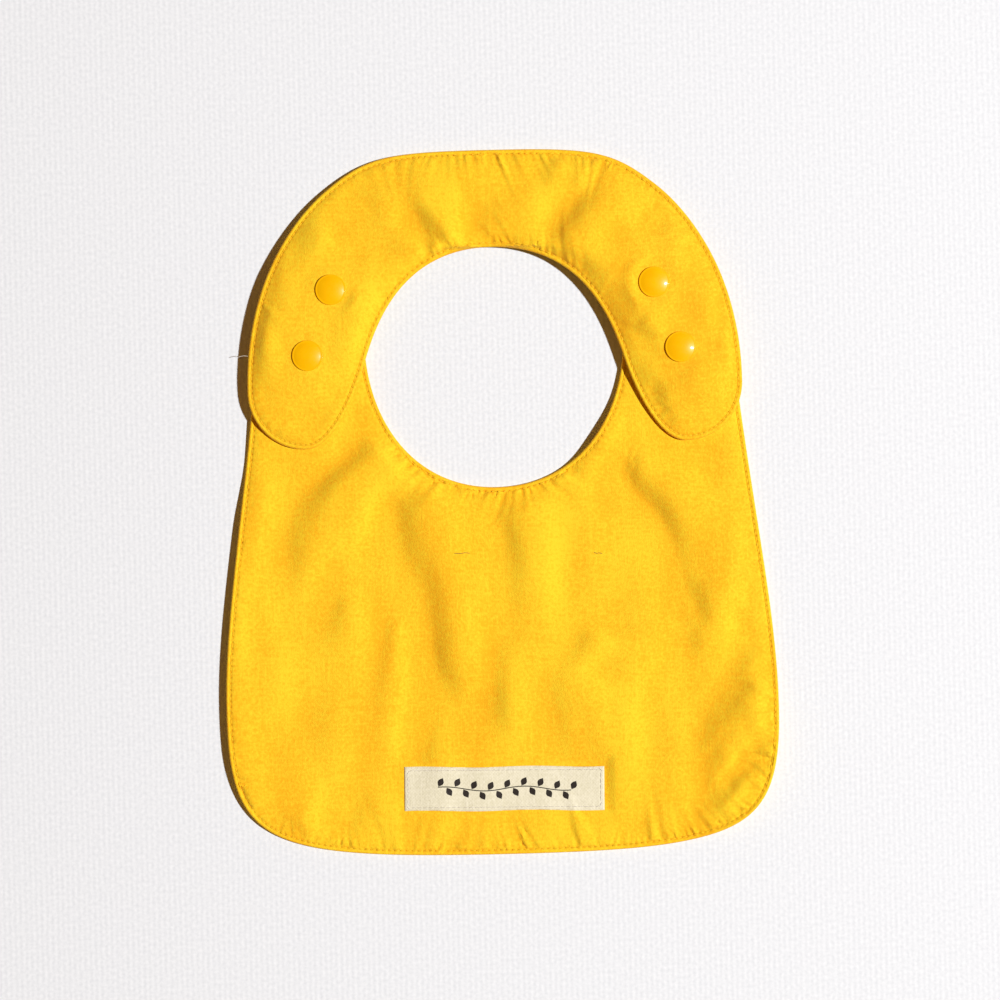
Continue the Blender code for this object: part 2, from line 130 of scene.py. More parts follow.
def whole_outline(right_half, pitch=0.6 * MM):
    """The closed anticlockwise loop of a right half's knots, resampled evenly."""
    points = []
    for (start, _, leave), (end, arrive, _) in zip(right_half, right_half[1:]):
        points += interpolate_bezier(start, leave, arrive, end, 60)[:-1]
    points.append(right_half[-1][0])
    half = np.array(points)[:, :2]
    mirrored = half[-2:0:-1] * (-1, 1)
    return even_loop(np.vstack([half, mirrored]), pitch)


# %% The body's outline and the band's
SHOULDER_HALF = 99.6 * MM
NECK_HALF = 52.5 * MM
under_arm = LOWER_H - 26 * MM
shoulder_tip = UPPER_H + 20.6 * MM
neck_widest = LOWER_H + 6 * MM
widest = 62 * MM
body_loop = whole_outline(
    [
        knot(0, 0, 0, 0, BODY_HALF * 0.89),
        knot(BODY_HALF, widest, 90, widest * 0.9, (under_arm - widest) * 0.25),
        knot(
            SHOULDER_HALF, under_arm, 97, (under_arm - widest) * 0.5, (shoulder_tip - under_arm) * 0.5
        ),
        knot((SHOULDER_HALF + NECK_HALF) / 2 - 7 * MM, shoulder_tip, 180, 18.5 * MM, 10.3 * MM),
        knot(NECK_HALF, neck_widest, 270, (shoulder_tip - neck_widest) * 0.65, 32.2 * MM),
        knot(0, NECK_BASE_H, 180, NECK_HALF * 0.65, 0),
    ]
)

rise = LENGTH - (LOWER_H - 14 * MM)
arm_inner = BAND_HALF - 47 * MM
band_loop = whole_outline(
    [
        knot(0, NECK_TOP_H, 0, 0, arm_inner * 0.75),
        knot(arm_inner, LOWER_H - 5.6 * MM, 288, 12.6 * MM, 13 * MM),
        knot(BAND_HALF - 23 * MM, ARM_TIP_H, 0, 11 * MM, 12.4 * MM),
        knot(BAND_HALF, LOWER_H - 14 * MM, 90, 13.5 * MM, rise * 0.46),
        knot(BAND_HALF * 0.676, LENGTH - rise * 0.168, 140, rise * 0.16, rise * 0.24),
        knot(0, LENGTH, 180, BAND_HALF * 0.42, 0),
    ]
)
print("edges to sew:", len(body_loop), "and", len(band_loop), "points")

# %% [markdown]
# ## Laying out a sheet
# Cloth needs small triangles where it is creased and a clean row of points along its edge, because
# the edge is rolled and stitched. Rings of points follow the edge inwards, a hexagonal grid fills the
# rest, and a Delaunay triangulation joins them all. Every point keeps its distance from the edge and
# its place along it.


# %% Triangulate an outline
def inward(loop, distance):
    """The closed anticlockwise loop moved inwards by a distance."""
    along = np.roll(loop, -1, axis=0) - np.roll(loop, 1, axis=0)
    along /= np.linalg.norm(along, axis=1, keepdims=True)
    return loop + np.stack([-along[:, 1], along[:, 0]], axis=1) * distance


def edge_places(points, loop):
    """For each point, its distance from the loop and its place along it, both in metres."""
    tree = KDTree(len(loop))
    for i, p in enumerate(loop):
        tree.insert((p[0], p[1], 0), i)
    tree.balance()
    near = np.array([tree.find((p[0], p[1], 0))[1] for p in points])
    step = np.linalg.norm(loop[1] - loop[0])
    best = np.full(len(points), np.inf)
    place = np.zeros(len(points))
    for shift in (-1, 0):
        start = (near + shift) % len(loop)
        a, b = loop[start], loop[(start + 1) % len(loop)]
        share = np.clip(((points - a) * (b - a)).sum(1) / ((b - a) ** 2).sum(1), 0, 1)
        gap = np.linalg.norm(points - a - share[:, None] * (b - a), axis=1)
        closer = gap < best
        best[closer] = gap[closer]
        place[closer] = ((start + share) * step)[closer]
    return best, place


def inside(points, loop):
    """Which points lie inside the loop, by counting the edges that a ray towards +X crosses."""
    a, b = loop, np.roll(loop, -1, axis=0)
    result = np.zeros(len(points), bool)
    for part in np.array_split(np.arange(len(points)), 1 + len(points) // 4000):
        x, y = points[part, 0][:, None], points[part, 1][:, None]
        spans = (a[:, 1] > y) != (b[:, 1] > y)
        rise_y = np.where(b[:, 1] == a[:, 1], 1, b[:, 1] - a[:, 1])
        crossing = a[:, 0] + (y - a[:, 1]) * (b[:, 0] - a[:, 0]) / rise_y
        result[part] = (spans & (crossing > x)).sum(1) % 2 == 1
    return result


def boundary(loop, side):
    """The points round a sheet: the whole loop, or with a side of -1 or 1, that half of it and then the
    points of the cut along the centre line. Also how many of them are on the loop."""
    if side == 0:
        return loop, len(loop)
    half = len(loop) // 2
    part = loop[: half + 1] if side > 0 else np.vstack([loop[half:], loop[:1]])
    steps = round(abs(part[0, 1] - part[-1, 1]) / (0.7 * MM))
    shares = np.arange(1, steps)[:, None] / steps
    return np.vstack([part, part[-1] + (part[0] - part[-1]) * shares]), len(part)


def lay_out(loop, pitch, rings, side=0):
    """Points and triangles over a loop or half of it: its boundary first, then rings, then a grid."""
    border, on_loop = boundary(loop, side)
    low, high = loop.min(0), loop.max(0)
    columns = np.arange(low[0], high[0], pitch)
    lines = np.arange(low[1], high[1], pitch * math.sqrt(0.75))
    grid = np.array([(x + (i % 2) * pitch / 2, y) for i, y in enumerate(lines) for x in columns])
    grid = grid[inside(grid, loop)]
    last = rings[-1] if len(rings) else 0
    grid = grid[edge_places(grid, loop)[0] > last + pitch * 0.6]
    filling = np.vstack([inward(loop, ring) for ring in rings] + [grid])
    if side:
        filling = filling[filling[:, 0] * side > 0.4 * MM]
    count = len(border)
    edges = [(i, (i + 1) % count) for i in range(count)]
    start = [Vector(p) for p in np.vstack([border, filling])]
    made = delaunay_2d_cdt(start, edges, [], 1, 1e-9, False)
    points = np.array([tuple(p) for p in made[0]])
    faces = np.array(made[2])
    faces = faces[inside(points[faces].mean(1), border)]
    first, second = points[faces[:, 1]] - points[faces[:, 0]], points[faces[:, 2]] - points[faces[:, 0]]
    faces = faces[first[:, 0] * second[:, 1] - first[:, 1] * second[:, 0] > 0.002 * MM**2]
    # Heights are read from places that crowd towards the cut, so the surface is level across it.
    level = ease(np.abs(points[:, 0]) / (2 * MM)) if side else 1
    at = points * np.column_stack([np.ones(len(points)) * level, np.ones(len(points))])
    gap, place = edge_places(at, loop)
    gap[:on_loop] = 0
    return {
        "points": points,
        "at": at,
        "faces": faces,
        "gap": gap,
        "place": place,
        "on_loop": on_loop,
        "border": count,
    }


def ease(share):
    """A smooth step from 0 to 1."""
    share = np.clip(share, 0, 1)
    return share * share * (3 - 2 * share)


EDGE_RINGS = [r * MM for r in (0.25, 0.6, 1.0, 1.4, 1.8, 2.2, 2.7, 3.4, 4.3)]
body_sheet = lay_out(body_loop, 1.15 * MM, EDGE_RINGS)
print("body sheet", len(body_sheet["faces"]), "triangles")

# %% [markdown]
# ## How each pad lies
# The body lies on the table. Its left side and its lower right corner curl up a little, its neck edge
# lifts beside the right arm, and its shoulders rest on the back caps of the snaps. The band stands
# higher at the snaps, because the studs and sockets are between the two pads, droops at its inner
# edge, and slopes down to the table at the nape. These are the frame's own levels, made smooth.


# %% Heights of the pads' undersides
LEFT_CURL, CORNER_CURL, NECK_LIFT = 3.6 * MM, 6 * MM, 3 * MM
NECK_LIFT_X, NECK_LIFT_H, NECK_LIFT_SPREAD = 42 * MM, 168 * MM, 14 * MM
NECK_DROOP_SHARE, NECK_DROOP_SPREAD = 0.5, 7 * MM


def bell(distance, spread):
    """A soft bump: 1 in the middle, and nearly 0 at twice the spread."""
    return np.exp(-((distance / spread) ** 2))


def shoulder_height(h):
    """How high the body stands over the table towards its shoulders."""
    return SHOULDER_LIFT * ease((h - RAMP_START_H) / (RAMP_END_H - RAMP_START_H))


def body_lie(x, h):
    """Height of the body's underside over the table."""
    shoulder = shoulder_height(h)
    below_arms = ease((ARM_TIP_H - 2 * MM - h) / (30 * MM))
    left = LEFT_CURL * ease((-x - 82 * MM) / (32 * MM)) * (0.35 + 0.65 * ease((h - 6 * MM) / (40 * MM)))
    corner = CORNER_CURL * ease((x - 74 * MM) / (40 * MM)) * ease((84 * MM - h) / (44 * MM))
    lifted = NECK_LIFT * bell(np.hypot(x - NECK_LIFT_X, h - NECK_LIFT_H), NECK_LIFT_SPREAD)
    neck_droop = NECK_DROOP_SHARE * shoulder * bell(np.abs(x) - NECK_HALF, NECK_DROOP_SPREAD)
    return shoulder + (left + corner) * below_arms + lifted - neck_droop


right_half = band_loop[: len(band_loop) // 2]
tip_number = int(right_half[:, 1].argmin())
inner_edge, outer_edge = right_half[:tip_number][::-1], right_half[tip_number:]
INNER_DROOP, INNER_SPREAD = 3.2 * MM, 11 * MM
OUTER_DROOP, OUTER_SPREAD = 2.6 * MM, 9 * MM


def band_lie(x, h):
    """Height of the band's underside over the table."""
    slope = (BAND_LEVEL - BAND_TOP_LIFT) / (LENGTH - LEVEL_END_H)
    nape = BAND_LEVEL - slope * (h - LEVEL_END_H)
    tip = shoulder_height(ARM_TIP_H) + PAD + 0.8 * MM
    rise = ease((h - ARM_TIP_H) / (RAMP_END_H - ARM_TIP_H))
    level = np.minimum(tip + (BAND_LEVEL - tip) * rise, nape)
    from_inside = np.abs(x) - np.interp(h, inner_edge[:, 1], inner_edge[:, 0])
    from_outside = np.interp(h, outer_edge[:, 1], outer_edge[:, 0]) - np.abs(x)
    inner = INNER_DROOP * bell(np.maximum(from_inside, 0), INNER_SPREAD)
    outer = OUTER_DROOP * bell(np.maximum(from_outside, 0), OUTER_SPREAD)
    droop = (inner + outer) * rise * ease(level / BAND_LEVEL)
    return level - 0.25 * MM * bell(h - LEVEL_END_H, 5 * MM) - droop


# %% [markdown]
# ## Creases
# A long soft crease is a line with a rounded valley or ridge across it, which fades out along its
# length. The larger ones are listed one by one, as a bib shows them after it has been pressed, folded
# and laid out: they fan out from the neckline, run down the sides of the label, and bunch where the
# band bends.


# %% Creases as soft valleys and ridges
def crease(points, start, middle, end, height, width):
    """Height that one crease adds at the points. A negative height is a valley. Along the line it
    swells and narrows a little, each crease in its own way."""
    knots = [Vector((*place, 0)) * MM for place in (start, middle, middle, end)]
    curve = interpolate_bezier(*knots, 40)
    line = np.array([tuple(p)[:2] for p in curve])
    result = np.zeros(len(points))
    phase = start[0] + start[1]
    reach = 3 * width * MM
    box = (points > line.min(0) - reach).all(1) & (points < line.max(0) + reach).all(1)
    near = np.linalg.norm(points[box][:, None] - line[None], axis=2)
    best = near.argmin(1)
    share = best / (len(line) - 1)
    taper = ease(share * 6 + 0.2) * ease((1 - share) * 1.6) * (1 + 0.18 * np.sin(9 * share + phase))
    wide = width * MM * (1 + 0.18 * np.sin(7 * share + 2 * phase))
    result[box] = height * MM * taper * bell(near.min(1), wide)
    return result


BODY_CREASES = [
    # start (x, h), bend (x, h), end (x, h), height, width, all in millimetres
    ((-36, 164), (-64, 150), (-86, 90), 5.6, 9.5),
    ((-50, 168), (-78, 150), (-96, 104), -1.8, 8),
    ((-30, 156), (-22, 118), (-19, 52), 2.4, 10.5),
    ((-44, 152), (-40, 122), (-44, 76), -1.3, 10),
    ((0, 150), (-1, 121), (1, 80), -1.7, 8),
    ((9, 149), (12, 116), (17, 76), 2.3, 9),
    ((50, 162), (80, 142), (99, 100), 3.4, 10.5),
    ((40, 156), (61, 134), (83, 96), -1.8, 10),
    ((90, 112), (88, 93), (83, 70), 2.5, 7),
    ((43, 90), (31, 74), (16, 54), 2.2, 5.5),
    ((33, 74), (39, 56), (41, 32), 1.9, 5.5),
    ((-14, 96), (-16, 66), (-15, 28), 1.2, 7),
    ((-42, 104), (-44, 68), (-46, 20), 1.5, 5.5),
    ((-62, 112), (-58, 80), (-64, 34), 1.5, 9),
    ((-31, 90), (-31, 62), (-30, 34), -1.0, 4.5),
    ((4, 88), (3, 62), (5, 28), 1.1, 5),
    ((50, 92), (53, 76), (55, 40), 1.2, 10),
    ((72, 90), (72, 70), (66, 44), -1.1, 9),
    ((112, 70), (90, 50), (66, 28), 1.9, 5.5),
    ((114, 46), (96, 34), (76, 16), -1.4, 4.5),
    ((108, 58), (90, 40), (72, 20), 1.2, 4),
    ((106, 30), (90, 18), (66, 8), 1.1, 4),
    ((112, 84), (100, 74), (88, 60), 1.0, 5),
    ((-86, 92), (-92, 62), (-88, 34), 0.9, 9),
    ((-84, 10), (-78, 24), (-70, 36), 0.9, 5.5),
    ((-68, 6), (-62, 20), (-58, 32), -0.8, 4.5),
    ((30, 2), (31, 10), (29, 18), 0.4, 3),
]
BAND_CREASES = [
    ((-14, 247), (-25, 263), (-37, 277), 1.9, 4.5),
    ((-22, 244), (-33, 259), (-46, 273), -1.6, 4.5),
    ((30, 244), (44, 259), (64, 276), 2.6, 7),
    ((19, 248), (32, 265), (48, 283), -1.4, 6),
    ((41, 282), (37, 273), (31, 262), 1.1, 3),
    ((30, 284), (27, 276), (23, 266), 0.7, 3),
    ((4, 247), (4, 262), (1, 278), 1.0, 4.5),
    ((-9, 247), (-8, 262), (-13, 278), -0.8, 4),
    ((58, 240), (60, 228), (57, 210), 1.6, 4.5),
    ((60, 217), (68, 209), (78, 204), 1.2, 3.5),
    ((66, 180), (81, 186), (96, 198), 1.5, 8),
    ((62, 192), (70, 176), (82, 170), -1.0, 6),
    ((92, 227), (93, 212), (89, 199), -1.4, 4.5),
    ((102, 222), (101, 200), (95, 178), 1.5, 12),
    ((86, 248), (92, 236), (96, 222), 1.1, 4.5),
    ((74, 264), (64, 254), (56, 243), -1.0, 6),
    ((-90, 226), (-95, 207), (-87, 186), 1.4, 7),
    ((-54, 231), (-54, 213), (-62, 192), 1.4, 6.5),
    ((-64, 192), (-74, 181), (-88, 184), -1.1, 6),
    ((-56, 243), (-70, 256), (-84, 250), 1.1, 7),
    ((-50, 242), (-62, 254), (-74, 264), -1.0, 6),
]


def creases(points, table):
    """Height of all the creases of a table together."""
    return sum(crease(points, *row) for row in table)


def undulation(points, across, along, height, seed):
    """Low uneven waves, whose lengths across the bib and along it lie between two numbers each."""
    draw = np.random.default_rng(seed)
    total = np.zeros(len(points))
    for _ in range(10):
        wave_x = 2 * math.pi / (draw.uniform(*across) * MM) * draw.choice((-1, 1))
        wave_h = 2 * math.pi / (draw.uniform(*along) * MM)
        total += np.sin(points[:, 0] * wave_x + points[:, 1] * wave_h + draw.uniform(0, 6.28))
    return total * height / math.sqrt(10)


# %% [markdown]
# ## Settling the cloth
# Real wrinkles come from a little spare cloth that is held along its seam. The cloth simulation makes
# them the same way: a sheet is pinned along the stitching, starts with the creases above, grows by a
# few percent, and buckles until it is at rest. It runs at ten times the size, where the solver is
# steady, and only the height it gives is kept.

# %% Cloth simulation of one sheet
SIM_SCALE = 10
SIM_FRAMES = 24


def settle(name, sheet, table, growth, stiffness):
    """A function that gives the settled height of the cloth at any points."""
    points = sheet["points"]
    start = creases(points, table) * 0.5
    noise = np.random.default_rng(7).normal(0, 0.12 * MM, len(points))
    held = sheet["gap"] < STITCH_INSET * 1.2
    start = np.where(held, 0, start + noise)
    mesh = bpy.data.meshes.new(name)
    spread = np.column_stack([points, start]) * SIM_SCALE
    mesh.from_pydata(spread.tolist(), [], sheet["faces"].tolist())
    cloth_object = bpy.data.objects.new(name, mesh)
    bpy.context.scene.collection.objects.link(cloth_object)
    pins = cloth_object.vertex_groups.new(name="seam")
    pins.add(np.flatnonzero(held).tolist(), 1.0, "REPLACE")
    cloth = cloth_object.modifiers.new("cloth", "CLOTH")
    feel = {"quality": 5, "mass": 0.2, "tension_stiffness": 30, "compression_stiffness": 30}
    feel |= {"shear_stiffness": 10, "bending_stiffness": stiffness, "air_damping": 4}
    feel |= {"vertex_group_mass": "seam", "shrink_min": -growth}
    for key, value in feel.items():
        setattr(cloth.settings, key, value)
    cloth.settings.effector_weights.gravity = 0
    cloth.collision_settings.use_collision = False
    cloth.point_cache.frame_start = 1
    cloth.point_cache.frame_end = SIM_FRAMES
    for number in range(1, SIM_FRAMES + 1):
        bpy.context.scene.frame_set(number)
    evaluated = cloth_object.evaluated_get(bpy.context.evaluated_depsgraph_get())
    settled = np.array([v.co for v in evaluated.data.vertices]) / SIM_SCALE
    bpy.data.objects.remove(cloth_object)
    bpy.context.scene.frame_set(1)
    heights = smoothed(settled[:, 2], sheet["faces"], 3)
    print(name, "settled between %.1f and %.1f mm" % (heights.min() / MM, heights.max() / MM))
    return sampler(settled[:, :2], heights, sheet["faces"])


def smoothed(values, faces, times):
    """Values at the points of a mesh, averaged with their neighbours a few times."""
    sides = np.vstack([faces[:, [0, 1]], faces[:, [1, 2]], faces[:, [2, 0]]])
    edges = np.unique(np.sort(sides, axis=1), axis=0)
    count = np.bincount(edges.ravel(), minlength=len(values))
    for _ in range(times):
        total = np.bincount(edges[:, 0], values[edges[:, 1]], len(values))
        total += np.bincount(edges[:, 1], values[edges[:, 0]], len(values))
        values = 0.5 * values + 0.5 * total / count
    return values


def sampler(points, heights, faces):
    """A function that reads the height of a triangulated sheet at any points."""
    corners = np.column_stack([points, heights]).tolist()
    tree = BVHTree.FromPolygons(corners, faces.tolist())

    def height_at(places):
        found = np.zeros(len(places))
        down = Vector((0, 0, -1))
        for i, (x, y) in enumerate(places):
            hit = tree.ray_cast(Vector((x, y, 1)), down)[0]
            found[i] = hit.z if hit else 0
        return found

    return height_at


GROWTH, STIFFNESS = 0.010, 40
coarse_body = lay_out(body_loop, 2.6 * MM, [1.8 * MM])
coarse_band = lay_out(band_loop, 2.2 * MM, [1.8 * MM])
body_settled = settle("body_cloth", coarse_body, BODY_CREASES, GROWTH, STIFFNESS)
band_settled = settle("band_cloth", coarse_band, BAND_CREASES, GROWTH, STIFFNESS)

# %% [markdown]
# ## Rolled edges, stitch groove and puckers
# The cloths are turned in at the edge, so each pad ends in a soft roll. The stitching pulls a groove
# along it. Thread tension gathers the cloth into short pleats that start at the groove, merge as they
# run inwards and fade out. Their strength differs along the seam: most at the neckline and the hem.


# %% Height of the top surface over the pad's middle
FINE_PLEAT, BROAD_PLEAT = 0.42 * MM, 0.8 * MM
FINE_REACH = 4.2 * MM
EDGE_ROLL = 0.9 * MM
PIT_DEPTH, PIT_WIDTH = 0.6 * MM, 0.3 * MM
GROOVE_DEPTH, GROOVE_WIDTH = 0.34 * MM, 0.42 * MM
LOFT, LOFT_REACH = 0.35 * MM, 4 * MM


def wave(loop, width, seed):
    """Smooth periodic noise along an edge: a function of the place, with a standard deviation of 1."""
    step = np.linalg.norm(loop[1] - loop[0])
    raw = np.random.default_rng(seed).normal(size=len(loop))
    cycles = np.fft.rfftfreq(len(loop), step)
    values = np.fft.irfft(np.fft.rfft(raw) * np.exp(-((cycles * width) ** 2)), len(loop))
    values /= values.std()
    at = np.arange(len(loop) + 1) * step
    return lambda place: np.interp(place % at[-1], at, np.append(values, values[0]))


def sharp_valleys(noise):
    """Rounded ridges between sharp valleys, where the noise passes through zero."""
    return np.sqrt(noise**2 + 0.02) - 0.8


def pleats(sheet, loop, strength, seed):
    """Short pleats that start at the stitching: sharp valleys between rounded ridges. They are spaced
    unevenly, lean to one side or the other, and are strong in some places and nearly gone in others."""
    gap, place = sheet["gap"], sheet["place"]
    inwards = np.maximum(gap - STITCH_INSET, 0)
    leaning = place + wave(loop, 30 * MM, seed + 2)(place) * inwards * 0.35
    fine, broad = wave(loop, 2.4 * MM, seed)(leaning), wave(loop, 6 * MM, seed + 1)(leaning)
    strong = np.clip(0.9 + 0.5 * wave(loop, 14 * MM, seed + 3)(place), 0.45, 1.8)
    reach = (6.5 + 3 * wave(loop, 9 * MM, seed + 4)(place)).clip(3, 14) * MM
    start = ease((gap - EDGE_ROLL) / (1.2 * MM))
    fine = np.minimum(sharp_valleys(fine), 0.8) * np.exp(-inwards / FINE_REACH)
    broad = sharp_valleys(broad) * np.exp(-inwards / reach) * ease(inwards / (2 * MM))
    return start * strength * strong * (FINE_PLEAT * fine + BROAD_PLEAT * np.minimum(broad, 0.7))


def needle_holes(sheet, loop):
    """Depth of the small pits where the needle went through: one every fourth point of the seam."""
    step = np.linalg.norm(loop[1] - loop[0])
    turn = (sheet["place"] / step + 2) % 4 - 2
    return PIT_DEPTH * bell(turn, 0.7) * bell(sheet["gap"] - STITCH_INSET, PIT_WIDTH)


def near_places(points, places):
    """How near each point is to any of the places, each x, h, spread and strength in millimetres."""
    total = np.zeros(len(points))
    for x, h, spread, strength in places:
        away = np.linalg.norm(points - np.array((x, h)) * MM, axis=1)
        total += strength * bell(away, spread * MM)
    return total


def edge_roll(gap):
    """The turned edge: from the pad's middle at the very edge up to its face."""
    share = np.clip(gap / EDGE_ROLL, 0, 1)
    return PAD / 2 * np.sqrt(1 - (1 - share) ** 2)


def rolled(gap):
    """The turned edge, the groove of the stitching, and the loft of the padding inside it."""
    groove = GROOVE_DEPTH * bell(gap - STITCH_INSET, GROOVE_WIDTH)
    return edge_roll(gap) - groove + LOFT * ease((gap - STITCH_INSET) / LOFT_REACH)


def soft_limit(height, low, high):
    """Heights squeezed between a lowest and a highest value."""
    return np.where(height < 0, low * np.tanh(height / low), high * np.tanh(height / high))


# %% The body's top surface
CREASE_SHARE = 0.95
SETTLED_SHARE = 0.45
BODY_PUCKERS = [
    # x, h and spread in millimetres, and strength
    (0, 149, 34, 3.4),
    (-14, 0, 60, 1.2),
    (22, 0, 16, -0.6),
    (96, 22, 34, 1.2),
    (50, 2, 30, 0.4),
    (-100, 20, 30, 0.5),
]
CRUMPLED = [(102, 30, 26, 1), (92, 96, 24, 0.5), (0, 140, 40, 0.3)]


def label_hold(points):
    """1 where the label's own stitching holds the body's cloth flat, and 0 away from it."""
    mid_h = (label_low.y + label_high.y) / 2 - HEM_Y
    across = np.abs(points[:, 0]) - label_high.x
    along = np.abs(points[:, 1] - mid_h) - (label_high.y - label_low.y) / 2
    return 1 - ease(np.maximum(across, along) / (5 * MM))


def under_band_share(points):
    """1 where the band's arms cover the body, and 0 away from them."""
    up = ease((points[:, 1] - (ARM_TIP_H - 6 * MM)) / (18 * MM))
    return up * ease((np.abs(points[:, 0]) - 50 * MM) / (8 * MM))


def body_top(sheet):
    """Height of the body's top surface over the table."""
    points = sheet["at"]
    hold = (1 - 0.85 * under_band_share(points)) * (1 - 0.6 * label_hold(points))
    folds = CREASE_SHARE * creases(points, BODY_CREASES) + SETTLED_SHARE * body_settled(points)
    folds += undulation(points, (18, 44), (80, 240), 0.5 * MM, 5)
    folds += undulation(points, (6, 13), (8, 26), 0.24 * MM, 9) * near_places(points, CRUMPLED)
    folds = soft_limit(folds, 1.4 * MM, 3.6 * MM)
    folds *= hold * ease((sheet["gap"] - 1 * MM) / (9 * MM))
    strength = (0.35 + near_places(points, BODY_PUCKERS)) * (1 - under_band_share(points))
    height = rolled(sheet["gap"]) + folds + pleats(sheet, body_loop, strength, 11)
    height -= needle_holes(sheet, body_loop)
    return body_lie(points[:, 0], points[:, 1]) + PAD / 2 + height


# %% The band's top surface
BAND_PUCKERS = [(0, 246.5, 26, 1.5), (38, 283, 24, 0.6), (-30, 285, 26, 0.5), (0, 286, 30, 0.4)]


def snap_hold(points):
    """1 under a snap's cap, and 0 away from it."""
    total = np.zeros(len(points))
    for x, h in SNAPS.values():
        away = np.linalg.norm(points - np.array((x, h)), axis=1)
        total = np.maximum(total, 1 - ease((away - CAP_RADIUS * 0.9) / (6 * MM)))
    return total


def band_top(sheet):
    """Height of the band's top surface over the table."""
    points = sheet["at"]
    hold = 1 - snap_hold(points)
    folds = CREASE_SHARE * creases(points, BAND_CREASES) + SETTLED_SHARE * band_settled(points)
    folds += undulation(points, (16, 36), (24, 70), 0.28 * MM, 6)
    folds = soft_limit(folds, 1.3 * MM, 3 * MM)
    folds *= hold * ease((sheet["gap"] - 1 * MM) / (6 * MM))
    strength = 0.3 + near_places(points, BAND_PUCKERS)
    height = rolled(sheet["gap"]) - 0.35 * MM * snap_hold(points) + folds
    height += pleats(sheet, band_loop, strength, 23) * hold - needle_holes(sheet, band_loop)
    return band_lie(points[:, 0], points[:, 1]) + PAD / 2 + height


# %% [markdown]
# ## From heights to closed cloths
# Each pad is shown as two cloths that meet at half its thickness. The front one has the fine top
# surface and a plain underside; the back one is plain. The band is cut along its centre line into two
# halves: the heights are level for a millimetre there, so that the halves join unseen.


# %% Build closed cloths
COLLECTION = bpy.data.collections.new("bib_looks")
bpy.context.scene.collection.children.link(COLLECTION)


def link_object(name, mesh):
    """An object of the looks, made from a mesh."""
    made = bpy.data.objects.new(name, mesh)
    COLLECTION.objects.link(made)
    return made


def new_object(name, points, faces, smooth=True):
    """An object made from points and faces, with soft shading across its gentle edges."""
    mesh = bpy.data.meshes.new(name)
    mesh.from_pydata(points.tolist() if hasattr(points, "tolist") else points, [], faces)
    mesh.validate()
    if smooth:
        mesh.shade_smooth()
        mesh.set_sharp_from_angle(angle=math.radians(55))
    return link_object(name, mesh)


def placed(points, heights):
    """Points of the pattern with their heights, in the frame's own axes."""
    return np.column_stack([points[:, 0], points[:, 1] + HEM_Y, heights])


def painted_valley_shade(heights, faces):
    """How far each point lies under its surroundings, from 0 to 1 at a depth of two millimetres: how
    much painted shade the cloth's colour gets there.
    """
    return np.clip((smoothed(heights, faces, 60) - heights) / (2 * MM), 0, 1)


def closed_cloth(name, top, top_z, under, under_z):
    """A closed mesh of a top sheet and an underside, which share the outline's points. Along a cut, a
    wall joins them. The top keeps the depth of its valleys, which the cloth's colour uses as painted
    shade."""
    shared, border = top["on_loop"], top["border"]
    shift = len(top["points"]) - shared
    numbers = np.arange(len(under["points"]))
    renumber = numbers + np.where(numbers < shared, 0, shift)
    points = np.vstack([placed(top["points"], top_z), placed(under["points"], under_z)[shared:]])
    faces = np.vstack([top["faces"], renumber[under["faces"]][:, ::-1]]).tolist()
    ring = [*range(shared - 1, border), 0] if border > shared else []
    for a, b in zip(ring, ring[1:]):
        corners = (b, a, int(renumber[a]), int(renumber[b]))
        faces.append([c for i, c in enumerate(corners) if c not in corners[:i]])
    made = new_object(name, points, faces)
    # Painted shade: how far each point of the top lies in a valley, for the cloth's colour.
    valley_shade = np.zeros(len(points))
    valley_shade[: len(top_z)] = painted_valley_shade(top_z, top["faces"])
    made.data.attributes.new("valley", "FLOAT", "POINT").data.foreach_set("value", valley_shade)
    return made


PLAIN_RINGS = [0.5 * MM, 1.2 * MM, 3 * MM]


def make_pad(name, loop, side, fine, top_of, lie):
    """The front and back cloths of a pad, or of one half of it."""
    plain = lay_out(loop, 3.5 * MM, PLAIN_RINGS, side)
    middle = lie(plain["at"][:, 0], plain["at"][:, 1]) + PAD / 2
    bottom = middle - edge_roll(plain["gap"])
    front = closed_cloth(name + "_front", fine, top_of(fine) + MIDDLE_GAP, plain, middle + MIDDLE_GAP)
    back = closed_cloth(name + "_back", plain, middle - MIDDLE_GAP, plain, bottom)
    print(name, "front", len(front.data.polygons), "faces, back", len(back.data.polygons))
    return front, back


body_front, body_back = make_pad("body", body_loop, 0, body_sheet, body_top, body_lie)
band = {}
for side, name in ((-1, "left"), (1, "right")):
    half = lay_out(band_loop, 0.95 * MM, EDGE_RINGS, side)
    band[name] = make_pad(f"band_{name}", band_loop, side, half, band_top, band_lie)

# %% [markdown]
# ## Node trees in few words
# Shader trees and Geometry Nodes trees are built the same way. A node is added with its settings, and
# each input is either set to a value or joined to another node's output. A group also has its own
# sockets on the outside, so that one tree can be used again with other sizes.


# %% Helpers for node trees
def add_node(tree, kind, inputs=(), **settings):
    """A node with its settings, and its inputs set to values or joined to other nodes' outputs."""
    node = tree.nodes.new(kind)
    for key, value in settings.items():
        setattr(node, key, value)
    for key, value in dict(inputs).items():
        if isinstance(value, bpy.types.NodeSocket):
            tree.links.new(value, node.inputs[key])
        else:
            node.inputs[key].default_value = value
    return node


def math_node(tree, operation, *values):
    """The output of a Math node whose inputs are numbers or other nodes' outputs."""
    return add_node(tree, "ShaderNodeMath", enumerate(values), operation=operation).outputs[0]


